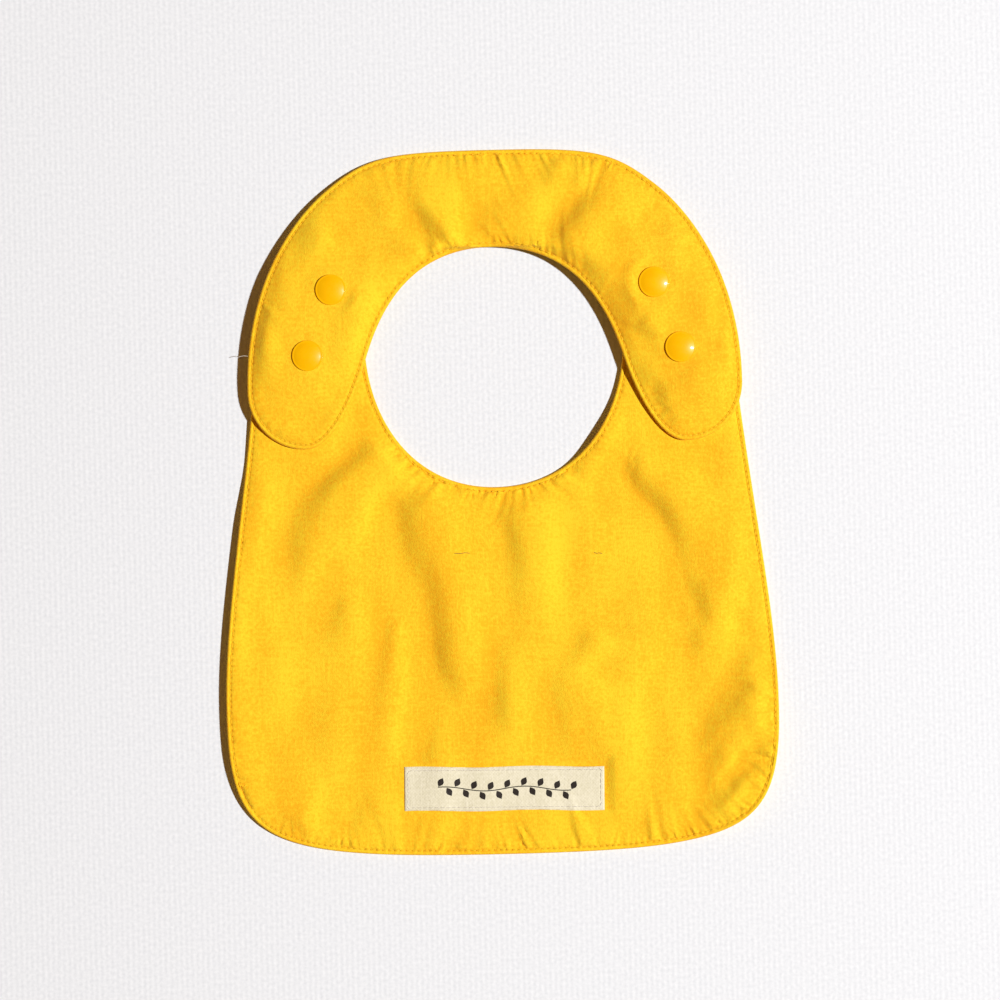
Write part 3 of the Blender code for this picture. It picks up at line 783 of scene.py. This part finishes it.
def new_group(name, kinds, main, sizes, results):
    """A node group that takes one main input and some sizes, each with its usual value, and gives some
    results. Also its input sockets and its output sockets, to be joined inside."""
    tree_kind, main_kind, result_kind = kinds
    tree = bpy.data.node_groups.new(name, tree_kind)
    tree.interface.new_socket(name=main, in_out="INPUT", socket_type=main_kind)
    for label, value in sizes.items():
        size = tree.interface.new_socket(name=label, in_out="INPUT", socket_type="NodeSocketFloat")
        size.default_value = value
    for label in results:
        tree.interface.new_socket(name=label, in_out="OUTPUT", socket_type=result_kind)
    return tree, add_node(tree, "NodeGroupInput").outputs, add_node(tree, "NodeGroupOutput").inputs


SHADING = ("ShaderNodeTree", "NodeSocketVector", "NodeSocketFloat")
GEOMETRY = ("GeometryNodeTree", "NodeSocketGeometry", "NodeSocketGeometry")
print("node helpers are ready")

# %% [markdown]
# ## A plain weave for every cloth
# Poplin is a plain weave so fine that it shows as grain: thread by thread the tone differs a little,
# and here and there a thread is thicker. One node group makes that grain, from two crossed sets of
# threads and some noise, and each cloth uses it with its own thread pitch and strength.


# %% The weave group
def noise_node(tree, vector, scale, detail, stretch=(1, 1, 1)):
    """Noise of about 1/scale metres a patch, stretched along an axis if asked."""
    mapping = add_node(tree, "ShaderNodeMapping", {"Vector": vector, "Scale": stretch})
    noise = {"Vector": mapping.outputs[0], "Scale": scale, "Detail": detail}
    return add_node(tree, "ShaderNodeTexNoise", noise).outputs["Fac"]


def weave_group():
    """Threads of a plain weave: their height, and a tone that differs thread by thread."""
    sizes = {"Threads per metre": 2200, "Slubs": 0.4}
    tree, enter, leave = new_group("plain_weave", SHADING, "Vector", sizes, ("Height", "Tone"))
    where, threads = enter["Vector"], enter["Threads per metre"]
    parts = add_node(tree, "ShaderNodeSeparateXYZ", {0: where}).outputs
    pitch = math_node(tree, "MULTIPLY", threads, math.pi)
    warp = math_node(tree, "SINE", math_node(tree, "MULTIPLY", parts["X"], pitch))
    weft = math_node(tree, "SINE", math_node(tree, "MULTIPLY", parts["Y"], pitch))
    fuzz = noise_node(tree, where, math_node(tree, "MULTIPLY", threads, 0.6), 4)
    crossed = math_node(tree, "MULTIPLY_ADD", math_node(tree, "MULTIPLY", warp, weft), 0.1, fuzz)
    thick_warp = noise_node(tree, where, 900, 2, (1, 0.06, 1))
    thick_weft = noise_node(tree, where, 900, 2, (0.06, 1, 1))
    slub = math_node(tree, "SUBTRACT", math_node(tree, "MAXIMUM", thick_warp, thick_weft), 0.5)
    slub = math_node(tree, "MULTIPLY", slub, enter["Slubs"])
    tree.links.new(math_node(tree, "ADD", crossed, slub), leave["Height"])
    grain = noise_node(tree, where, 850, 6)
    tree.links.new(math_node(tree, "MULTIPLY_ADD", slub, 0.8, grain), leave["Tone"])
    return tree


weave = weave_group()
print("weave group:", len(weave.nodes), "nodes")

# %% [markdown]
# ## Dyed cotton
# The cloth is matt, a little fuzzy at grazing angles, and dyed right through, so its tone shifts only
# softly, in long patches that run down the cloth. Valleys look deeper in colour because light bounces
# from yellow to yellow. Painted shade adds to that: the surface's own depth, kept as an attribute,
# draws the colour towards the deep tone in the valleys.


# %% Cotton material
def new_material(name, constants):
    """A material with constants on its shader. Also its tree, the shader's inputs, and the object's own
    coordinates."""
    made = bpy.data.materials.new(name)
    made.use_nodes = True
    tree = made.node_tree
    shader = tree.nodes["Principled BSDF"].inputs
    for key, value in constants.items():
        shader[key].default_value = value
    return made, tree, shader, add_node(tree, "ShaderNodeTexCoord").outputs["Object"]


MIX_FIRST, MIX_SECOND, MIX_RESULT = 6, 7, 2  # the Mix node's colour sockets, after other kinds


def mix_colour(tree, share, first, second):
    """A mix of two colours."""
    colours = {"Factor": share, MIX_FIRST: (*first, 1), MIX_SECOND: (*second, 1)}
    return add_node(tree, "ShaderNodeMix", colours, data_type="RGBA").outputs[MIX_RESULT]


def ramp(tree, value, low, high):
    """A value mapped from between low and high to between 0 and 1."""
    limits = {"Value": value, "From Min": low, "From Max": high}
    return add_node(tree, "ShaderNodeMapRange", limits).outputs[0]


CLOTH_ROUGHNESS = 0.92


def cloth_material(name, pale, deep, threads, slubs, bump, sheen):
    """A woven cloth between a pale and a deep tone. The deep tone is both the cloth's own darker tone
    and its painted shade in valleys.
    """
    constants = {"Sheen Weight": sheen, "Sheen Roughness": 0.5, "Specular IOR Level": 0.25}
    made, tree, shader, where = new_material(name, constants)
    sizes = {"Vector": where, "Threads per metre": threads, "Slubs": slubs}
    woven = add_node(tree, "ShaderNodeGroup", sizes, node_tree=weave).outputs
    patches = noise_node(tree, where, 55, 3, (1, 0.35, 1))
    tone = math_node(tree, "MULTIPLY_ADD", patches, 0.7, woven["Tone"])
    # Painted shade: the colour turns towards the deep tone where the surface lies in a valley.
    depth = add_node(tree, "ShaderNodeAttribute", attribute_name="valley").outputs["Fac"]
    tone = math_node(tree, "SUBTRACT", ramp(tree, tone, 0.65, 1.05), depth)
    tone = math_node(tree, "MINIMUM", math_node(tree, "MAXIMUM", tone, 0), 1)
    tree.links.new(mix_colour(tree, tone, deep, pale), shader["Base Color"])
    rough = math_node(tree, "MULTIPLY_ADD", woven["Tone"], -0.12, CLOTH_ROUGHNESS)
    tree.links.new(rough, shader["Roughness"])
    bumped = {"Height": woven["Height"], "Distance": bump, "Strength": 0.6}
    tree.links.new(add_node(tree, "ShaderNodeBump", bumped).outputs[0], shader["Normal"])
    return made


# The deep yellow is the cloth's own darker tone, and also the painted shade in its valleys.
yellow_cotton = cloth_material(
    "yellow_cotton", (0.895, 0.605, 0.0165), (0.885, 0.45, 0.006), 2800, 0.6, 0.35 * MM, 0.05
)
label_cotton = cloth_material(
    "label_cotton", (0.765, 0.735, 0.56), (0.68, 0.65, 0.47), 1600, 0.8, 0.3 * MM, 0.06
)


def dress(piece, material):
    """Give a piece its material."""
    piece.data.materials.clear()
    piece.data.materials.append(material)
    return piece


for piece in (body_front, body_back, *band["left"], *band["right"]):
    dress(piece, yellow_cotton)
print("cotton on", 2 + len(band["left"]) + len(band["right"]), "cloths")

# %% [markdown]
# ## Topstitching
# A lockstitch shows as short dashes of thread that bulge out of the cloth and dive back into it. One
# stitch is a small bent tube. Geometry Nodes lays it on each point of the seam and turns it to follow
# the line. The points are half-way between the needle's pits, so that every stitch ends in a pit.


# %% The stitching tree
def round_tube(tree, curve, radius):
    """A round tube with closed ends along a curve."""
    ring = add_node(tree, "GeometryNodeCurvePrimitiveCircle", {"Resolution": 6, "Radius": radius})
    sweep = {"Curve": curve, "Profile Curve": ring.outputs[0], "Fill Caps": True}
    return add_node(tree, "GeometryNodeCurveToMesh", sweep).outputs[0]


def lay_on(tree, points, piece, rotation):
    """Copies of a piece on points, made real."""
    laid = {"Points": points, "Instance": piece, "Rotation": rotation}
    copies = add_node(tree, "GeometryNodeInstanceOnPoints", laid).outputs[0]
    return add_node(tree, "GeometryNodeRealizeInstances", {0: copies}).outputs[0]


def dressed(tree, mesh, material, leave):
    """The tree, which gives its mesh in a material."""
    coat = add_node(tree, "GeometryNodeSetMaterial", {0: mesh, "Material": material})
    tree.links.new(coat.outputs[0], leave[0])
    return tree


def stitch_tree(material):
    """A tree that lays a stitch on each point of a line."""
    sizes = {"Stitch length": STITCH_PITCH * 0.86, "Thread radius": 0.2 * MM}
    tree, enter, leave = new_group("topstitch", GEOMETRY, "Seam", sizes, ("Stitches",))
    radius = enter["Thread radius"]
    half = math_node(tree, "MULTIPLY", enter["Stitch length"], 0.5)
    back = math_node(tree, "MULTIPLY", half, -1)
    sunk = math_node(tree, "MULTIPLY", radius, -0.9)
    raised = math_node(tree, "MULTIPLY", radius, 2.2)
    arch = add_node(tree, "GeometryNodeCurveQuadraticBezier", {"Resolution": 5})
    for name, x, z in (("Start", back, sunk), ("Middle", 0, raised), ("End", half, sunk)):
        point = add_node(tree, "ShaderNodeCombineXYZ", {"X": x, "Z": z})
        tree.links.new(point.outputs[0], arch.inputs[name])
    stitch = round_tube(tree, arch.outputs[0], radius)
    seam = add_node(tree, "GeometryNodeMeshToCurve", {"Mesh": enter["Seam"]}).outputs[0]
    tangent = add_node(tree, "GeometryNodeInputTangent").outputs[0]
    turn = add_node(tree, "FunctionNodeAlignRotationToVector", {"Vector": tangent}, axis="X")
    laid = lay_on(tree, seam, stitch, turn.outputs[0])
    smooth = add_node(tree, "GeometryNodeSetShadeSmooth", {0: laid})
    return dressed(tree, smooth.outputs[0], material, leave)


def thread_material(name, pale, deep):
    """Twisted thread: fine strands, a little shine."""
    constants = {"Sheen Weight": 0.05, "Specular IOR Level": 0.2}
    made, tree, shader, where = new_material(name, constants)
    strands = noise_node(tree, where, 3500, 2)
    tree.links.new(mix_colour(tree, ramp(tree, strands, 0.3, 0.7), deep, pale), shader["Base Color"])
    tree.links.new(ramp(tree, strands, -0.4, 1.6), shader["Roughness"])
    bumped = add_node(tree, "ShaderNodeBump", {"Height": strands, "Distance": 0.05 * MM})
    tree.links.new(bumped.outputs[0], shader["Normal"])
    return made


yellow_thread = thread_material("yellow_thread", (0.88, 0.60, 0.014), (0.80, 0.47, 0.007))
label_thread = thread_material("label_thread", (0.80, 0.77, 0.68), (0.52, 0.48, 0.38))
yellow_stitches = stitch_tree(yellow_thread)
label_stitches = stitch_tree(label_thread)
print("topstitch tree:", len(yellow_stitches.nodes), "nodes")


# %% Sew the seams
def sew(name, seam, closed, tree, slot, **sizes):
    """The mesh that a tree makes along a line of points. A size is written with _ for a space."""
    count = len(seam)
    edges = [(i, i + 1) for i in range(count - 1)] + ([(count - 1, 0)] if closed else [])
    mesh = bpy.data.meshes.new(name)
    mesh.from_pydata(seam.tolist(), edges, [])
    line = link_object(name, mesh)
    laid = line.modifiers.new("laid", "NODES")
    laid.node_group = tree
    for item in tree.interface.items_tree:
        if item.in_out == "INPUT" and item.name.replace(" ", "_") in sizes:
            laid[item.identifier] = sizes[item.name.replace(" ", "_")]
    bpy.context.view_layer.update()
    evaluated = line.evaluated_get(bpy.context.evaluated_depsgraph_get())
    made = bpy.data.meshes.new_from_object(evaluated)
    bpy.data.objects.remove(line)
    made = link_object(name, made)
    print(name, len(made.data.polygons), "faces")
    return made


def surface_reader(piece):
    """A function that gives the height of a piece's top at any x and y."""
    corners = [v.co for v in piece.data.vertices]
    tree = BVHTree.FromPolygons(corners, [tuple(p.vertices) for p in piece.data.polygons])
    return lambda x, y: tree.ray_cast(Vector((x, y, 1)), Vector((0, 0, -1)))[0].z


def seam_points(piece, loop, first, last):
    """Points half-way between the needle's pits, a little over a piece's surface."""
    line = inward(loop, STITCH_INSET)[first + 2 : last : 4]
    over = surface_reader(piece)
    return placed(line, np.array([over(x, h + HEM_Y) for x, h in line]) + 0.08 * MM)


body_seam = seam_points(body_front, body_loop, 0, len(body_loop))
body_seam = sew("body_stitches", body_seam, True, yellow_stitches, "yellow_thread")
half_count = len(band_loop) // 2
band_seams = {}
for side, first in (("right", 0), ("left", half_count)):
    seam = seam_points(band[side][0], band_loop, first, first + half_count)
    band_seams[side] = sew(f"band_{side}_stitches", seam, False, yellow_stitches, "yellow_thread")

# %% [markdown]
# ## The label
# A strip of cream tape, sewn on near the hem through all layers. It follows the body's surface, and its
# own stitching draws its edge down.

# %% Label
LABEL_THICKNESS = 0.35 * MM
LABEL_OVER = 0.2 * MM  # the tape's underside over the body's cloth
LABEL_PITCH = 0.5 * MM
LABEL_SEAM = 1.4 * MM  # from the tape's edge to its stitching
LABEL_TILT = math.radians(-0.9)
label_mid = (label_low + label_high) / 2
label_half = ((label_high.x - label_low.x) / 2, (label_high.y - label_low.y) / 2)
body_surface = surface_reader(body_front)


def on_label(along, up):
    """x and y of places on the label, given along it and up it from its middle."""
    x = label_mid.x + along * math.cos(LABEL_TILT) - up * math.sin(LABEL_TILT)
    return x, label_mid.y + along * math.sin(LABEL_TILT) + up * math.cos(LABEL_TILT)


def make_label():
    """The tape: a closed mesh over a grid, whose top dips at the stitching and ruffles at the edge."""
    steps = [round(2 * half / LABEL_PITCH) + 1 for half in label_half]
    columns, rows = (np.linspace(-half, half, n) for half, n in zip(label_half, steps))
    grid_x, grid_y = np.meshgrid(columns, rows)
    rim = np.minimum(label_half[0] - np.abs(grid_x), label_half[1] - np.abs(grid_y))
    wobble = 0.25 * MM * np.sin(grid_x / (7 * MM)) * (np.abs(grid_y) / label_half[1]) ** 3
    x, y = on_label(grid_x, grid_y + wobble)
    under = np.array([body_surface(a, b) for a, b in zip(x.ravel(), y.ravel())]).reshape(x.shape)
    for _ in range(6):
        pad = np.pad(under, 1, mode="edge")
        under = (pad[:-2, 1:-1] + pad[2:, 1:-1] + pad[1:-1, :-2] + pad[1:-1, 2:]) / 4
    seam = 0.12 * MM * np.exp(-(((rim - LABEL_SEAM) / (0.4 * MM)) ** 2))
    ruffle = 0.12 * MM * np.sin(grid_x / (2.3 * MM)) * np.exp(-rim / (3 * MM))
    rounded = LABEL_THICKNESS * np.sqrt(np.clip(rim / (0.3 * MM), 0, 1))
    top = under + LABEL_OVER + 0.05 * MM + rounded - seam + ruffle
    sheets = [np.column_stack([x.ravel(), y.ravel(), z.ravel()]) for z in (top, under + LABEL_OVER)]
    numbers = np.arange(x.size).reshape(x.shape)
    quads = [numbers[:-1, :-1], numbers[:-1, 1:], numbers[1:, 1:], numbers[1:, :-1]]
    faces = np.stack(quads, axis=-1).reshape(-1, 4)
    faces = [*faces.tolist(), *(faces[:, ::-1] + x.size).tolist()]
    ring = [*numbers[0], *numbers[1:, -1], *numbers[-1, -2::-1], *numbers[-2:0:-1, 0]]
    for a, b in zip(ring, ring[1:] + ring[:1]):
        faces.append([int(n) for n in (b, a, a + x.size, b + x.size)])
    return new_object("label", np.vstack(sheets), faces)


label = dress(make_label(), label_cotton)
label_surface = surface_reader(label)
wide, high = (half - LABEL_SEAM for half in label_half)
corners = np.array([(-wide, -high), (wide, -high), (wide, high), (-wide, high)])
label_seam = even_loop(corners, STITCH_PITCH)
label_seam = np.column_stack(on_label(*label_seam.T))
over_label = [label_surface(x, y) + 0.05 * MM for x, y in label_seam]
label_seam = np.column_stack([label_seam, over_label])
label_seam_stitches = sew(
    "label_stitches", label_seam, True, label_stitches, "label_thread", Thread_radius=0.15 * MM
)

# %% [markdown]
# ## The label's print
# The print is a plain garland: a wavy stem with leaves on either side, in dark ink. Geometry Nodes
# thickens the stem's line and sets a leaf on each of its points, turned up or down by turns. The leaf
# starts as a disc whose sides are pulled in towards its tips. The whole print is then pressed onto the
# tape's surface.


# %% Trees for a strand and for leaves
def strand_tree(material):
    """A tree that turns a line into a thin round strand."""
    sizes = {"Thread radius": 0.12 * MM}
    tree, enter, leave = new_group("strand", GEOMETRY, "Line", sizes, ("Strand",))
    line = add_node(tree, "GeometryNodeMeshToCurve", {"Mesh": enter["Line"]}).outputs[0]
    return dressed(tree, round_tube(tree, line, enter["Thread radius"]), material, leave)


def leaf_tree(material):
    """A tree that sets a pointed leaf on each point of a line, up and down by turns."""
    sizes = {"Leaf length": 4.0 * MM, "Leaf width": 2.0 * MM, "Ink thickness": 0.04 * MM}
    tree, enter, leave = new_group("garland", GEOMETRY, "Line", sizes, ("Leaves",))
    disc = {"Vertices": 14, "Radius": 1, "Depth": enter["Ink thickness"]}
    disc = add_node(tree, "GeometryNodeMeshCylinder", disc).outputs["Mesh"]
    position = add_node(tree, "GeometryNodeInputPosition").outputs[0]
    x, y, z = add_node(tree, "ShaderNodeSeparateXYZ", {0: position}).outputs
    narrow = math_node(tree, "MULTIPLY_ADD", math_node(tree, "MULTIPLY", x, x), -1, 1)
    from_stem = math_node(tree, "MULTIPLY", math_node(tree, "ADD", x, 1.15), enter["Leaf length"])
    from_stem = math_node(tree, "MULTIPLY", from_stem, 0.5)
    across = math_node(tree, "MULTIPLY", math_node(tree, "MULTIPLY", y, narrow), enter["Leaf width"])
    across = math_node(tree, "MULTIPLY", across, 0.65)
    shape = add_node(tree, "ShaderNodeCombineXYZ", {"X": from_stem, "Y": across, "Z": z}).outputs[0]
    leaf = add_node(tree, "GeometryNodeSetPosition", {"Geometry": disc, "Position": shape})
    number = add_node(tree, "GeometryNodeInputIndex").outputs[0]
    turn = math_node(tree, "MULTIPLY_ADD", math_node(tree, "MODULO", number, 2), -2.1, 1.05)
    turn = add_node(tree, "ShaderNodeCombineXYZ", {"Z": turn}).outputs[0]
    return dressed(tree, lay_on(tree, enter["Line"], leaf.outputs[0], turn), material, leave)


print("the strand is a round tube, and the leaf a disc drawn in at its tips")


# %% Print the garland
GARLAND_HALF = 27 * MM
PRINT_OVER = 0.05 * MM
ink = thread_material("label_ink", (0.030, 0.022, 0.016), (0.012, 0.009, 0.007))


def garland_line(count):
    """Points of the garland's wavy stem, across the middle of the label."""
    along = np.linspace(-GARLAND_HALF, GARLAND_HALF, count)
    return np.column_stack([*on_label(along, 0.9 * MM * np.sin(along / (5.2 * MM))), np.zeros(count)])


stem = sew(
    "garland_stem", garland_line(90), False, strand_tree(ink), "label_thread", Thread_radius=0.22 * MM
)
leaves = sew("garland_leaves", garland_line(17), False, leaf_tree(ink), "label_thread")
for piece in (stem, leaves):
    for corner in piece.data.vertices:
        over = PRINT_OVER if corner.co.z > 0 else -PRINT_OVER
        corner.co.z = label_surface(corner.co.x, corner.co.y) + over

# %% [markdown]
# ## Loose threads
# Hand-finished cotton keeps a few stray threads: two short dark fibres woven into the body's face, and
# one pale end that was not trimmed at the band's left edge.

# %% Stray fibres and a loose end
FIBRE_OVER = 0.03 * MM
END_H = 204.5 * MM
fibre_strands = strand_tree(thread_material("dark_fibre", (0.20, 0.13, 0.03), (0.12, 0.07, 0.02)))


def on_body(middle_x, middle_h, length, slant):
    """Points of a fibre that lies in the body's face. Its sizes are in millimetres."""
    along = np.linspace(-0.5, 0.5, 14)
    x = (middle_x + length * along) * MM
    h = (middle_h + slant * along + 0.12 * np.sin(along * 9)) * MM
    z = np.array([body_surface(a, b + HEM_Y) for a, b in zip(x, h)]) + FIBRE_OVER
    return placed(np.column_stack([x, h]), z)


fibres = [
    sew("stray_fibre_long", on_body(-14.9, 122.7, 6.2, 0.1), False, fibre_strands, "yellow_thread"),
    sew("stray_fibre_short", on_body(40.3, 121.4, 3.2, -0.3), False, fibre_strands, "yellow_thread"),
]
edge_x = -np.interp(END_H, outer_edge[:, 1], outer_edge[:, 0])
outwards = np.linspace(-0.6, 4.2, 14) * MM
end_y = END_H + HEM_Y + 0.25 * MM * np.sin(outwards / (1.1 * MM))
end_z = band_lie(edge_x, END_H) + PAD / 2 - 0.12 * outwards
loose_end = np.column_stack([edge_x - outwards, end_y, end_z])
loose_end = sew("loose_end", loose_end, False, strand_tree(label_thread), "yellow_thread")

# %% [markdown]
# ## Snap caps
# Each cap is moulded: a shallow dome with a rounded rim, and a prong that passes through the cloth and
# is crimped over in the socket. It is a turned shape, so its profile is spun round its axis.

# %% Snap caps
CAP_DOME, CAP_FLANGE, CAP_ROUNDING = 1.4 * MM, 0.3 * MM, 0.28 * MM
PRONG, PRONG_HEAD, PRONG_HEAD_HEIGHT = 0.75 * MM, 1.2 * MM, 0.5 * MM
glossy, tree, plastic, where = new_material(
    "snap_plastic", {"Specular IOR Level": 0.12, "Coat Weight": 0.12, "Coat Roughness": 0.1}
)
flow = ramp(tree, noise_node(tree, where, 220, 2), 0.3, 0.7)
flow = mix_colour(tree, flow, (0.88, 0.45, 0.0010), (0.92, 0.49, 0.0015))
tree.links.new(flow, plastic["Base Color"])
tree.links.new(ramp(tree, noise_node(tree, where, 1400, 4), -0.3, 2.2), plastic["Roughness"])


def cap_profile(low, high):
    """Radii and heights of a cap from its dome's top to its prong's tip, between two heights."""
    rise = CAP_DOME - CAP_FLANGE
    sphere = (CAP_RADIUS**2 + rise**2) / (2 * rise)
    reach = [CAP_RADIUS * share for share in np.linspace(0, 0.93, 12)]
    rows = [(r, high - sphere + math.sqrt(sphere**2 - r**2)) for r in reach]
    under = high - CAP_DOME
    for turn in np.radians(np.linspace(15, 165, 7)):
        out = math.sin(turn) * CAP_ROUNDING - CAP_ROUNDING
        rows.append((CAP_RADIUS + out, under + 0.26 * MM * (1 + math.cos(turn))))
    head = low + PRONG_HEAD_HEIGHT
    rows += [(PRONG + 0.6 * MM, under), (PRONG, under), (PRONG, head)]
    return rows + [(PRONG_HEAD, head), (PRONG_HEAD, low), (0, low)]


def spin(name, x, y, profile, steps=56):
    """A closed turned piece of plastic, standing on x and y."""
    bm = bmesh.new()
    angles = [2 * math.pi * i / steps for i in range(steps)]
    rings = []
    for r, z in profile:
        places = [(x + r * math.cos(a), y + r * math.sin(a), z) for a in (angles if r else [0])]
        rings.append([bm.verts.new(place) for place in places])
    for upper, lower in zip(rings, rings[1:]):
        for i in range(steps):
            j = (i + 1) % steps
            a, b = upper[i % len(upper)], lower[i % len(lower)]
            bm.faces.new(list(dict.fromkeys((a, b, lower[j % len(lower)], upper[j % len(upper)]))))
    bmesh.ops.recalc_face_normals(bm, faces=bm.faces)
    mesh = bpy.data.meshes.new(name)
    bm.to_mesh(mesh)
    bm.free()
    mesh.shade_smooth()
    return dress(link_object(name, mesh), glossy)


caps = {}
for name, (x, h) in SNAPS.items():
    low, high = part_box(name + "_cap")
    caps[name] = spin(name + "_moulded_cap", x, h + HEM_Y, cap_profile(low.z, high.z))
    low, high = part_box(name + "_back_cap")
    profile = [(r, low.z + high.z - z) for r, z in cap_profile(low.z, high.z)]
    caps[name + "_back"] = spin(name + "_moulded_back_cap", x, h + HEM_Y, profile)
for name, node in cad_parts.items():
    if name.endswith(("_stud", "_socket")):
        node.data.materials.clear()
        node.data.materials.append(glossy)
print("snap caps:", len(caps))

# %% [markdown]
# ## Riding on the frame
# The body's pieces and the back caps stay with the body; the front caps and the loose end ride on
# their arms. The band's halves and their stitches are baked where they were made.

# %% Ride and replace
for piece in (body_front, body_back, body_seam, label, label_seam_stitches, stem, leaves, *fibres):
    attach(piece, "bib_body")
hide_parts("body_front_panel", "body_absorbent_core")
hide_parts("body_back_panel")
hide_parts("body_topstitch")
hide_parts("label_patch")
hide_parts("label_stitching")
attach(loose_end, "neckband_left_arm")
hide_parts("neckband_centre_front_panel")
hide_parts("neckband_centre_back_panel")
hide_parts("neckband_centre_core")
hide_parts("neckband_centre_outer_topstitch")
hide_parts("neckband_centre_inner_topstitch")
for side, sign in (("left", -1), ("right", 1)):
    front, back = band[side]
    own = f"neckband_{side}_"
    for piece in (front, back, band_seams[side]):
        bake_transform(piece)
    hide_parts(own + "front_panel", own + "core")
    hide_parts(own + "back_panel")
    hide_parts(own + "topstitch")
    for level in ("upper", "lower"):
        key = f"snap_{side}_{level}"
        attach(caps[key], own + "arm")
        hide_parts(key + "_cap")
        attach(caps[key + "_back"], "bib_body")
        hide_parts(key + "_back_cap")


for side in ("left", "right"):
    front, back = band[side]
print("sheets laid:", 3 + 2 * len(band))

# %% [markdown]
# ## Table, light and camera
# A table covered with white ribbed cloth. The shade across its ribs is painted into its colour as pale
# and dark stripes. One hard key light, high on the right, gives each crease a shaded left side, and a
# dim warm fill stands in for light that the yellow cloth throws back. The camera looks straight down
# through a long lens.

# %% Stage, light and camera
RIB_PITCH = 2.17 * MM
TABLE_HALF = 12
table = new_object(
    "table",
    [(sx * TABLE_HALF, sy * TABLE_HALF, 0) for sx, sy in ((-1, -1), (1, -1), (1, 1), (-1, 1))],
    [(0, 1, 2, 3)],
    smooth=False,
)
table.location.z = -0.02 * MM
table_cloth, tree, shader, where = new_material("table_paint", {"Roughness": 0.9})
across = add_node(tree, "ShaderNodeSeparateXYZ", {0: where}).outputs["X"]
# Painted shade of the ribs: the colour darkens and lightens across each rib, as light would fall on its
# sides.
painted_rib_shade = math_node(tree, "SINE", math_node(tree, "MULTIPLY", across, 2 * math.pi / RIB_PITCH))
tone = math_node(tree, "MULTIPLY_ADD", painted_rib_shade, 0.1, noise_node(tree, where, 700, 4))
tone = mix_colour(tree, ramp(tree, tone, 0.2, 0.8), (0.675, 0.72, 0.755), (0.81, 0.856, 0.886))
tree.links.new(tone, shader["Base Color"])
table.data.materials.append(table_cloth)

key = bpy.data.lights.new("key", "AREA")
key.shape = "DISK"
key.size = 0.26
key.energy = 311
key.color = (1.0, 1.0, 1.02)
key_object = bpy.data.objects.new("key", key)
key_object.location = (2.72, -0.05, 4.19)
key_object.rotation_euler = (-key_object.location).to_track_quat("-Z", "Y").to_euler()
bpy.context.scene.collection.objects.link(key_object)
world = bpy.context.scene.world or bpy.data.worlds.new("studio")
bpy.context.scene.world = world
world.use_nodes = True
fill = world.node_tree.nodes["Background"].inputs
fill["Color"].default_value = (1.0, 0.47, 0.14, 1)
fill["Strength"].default_value = 0.17
bpy.context.scene.view_settings.view_transform = "Standard"

FRAME_WIDTH = 0.4066
CAMERA_HEIGHT = 1.4
camera = bpy.data.cameras.new("camera")
camera.sensor_width = 36
camera.lens = camera.sensor_width * CAMERA_HEIGHT / FRAME_WIDTH
camera_object = bpy.data.objects.new("camera", camera)
camera_object.location = (0.0010, 0.0008, CAMERA_HEIGHT)
camera_object.rotation_euler = (0, 0, math.radians(-1.4))
bpy.context.scene.collection.objects.link(camera_object)
bpy.context.scene.camera = camera_object
print("camera sees", FRAME_WIDTH, "m across")
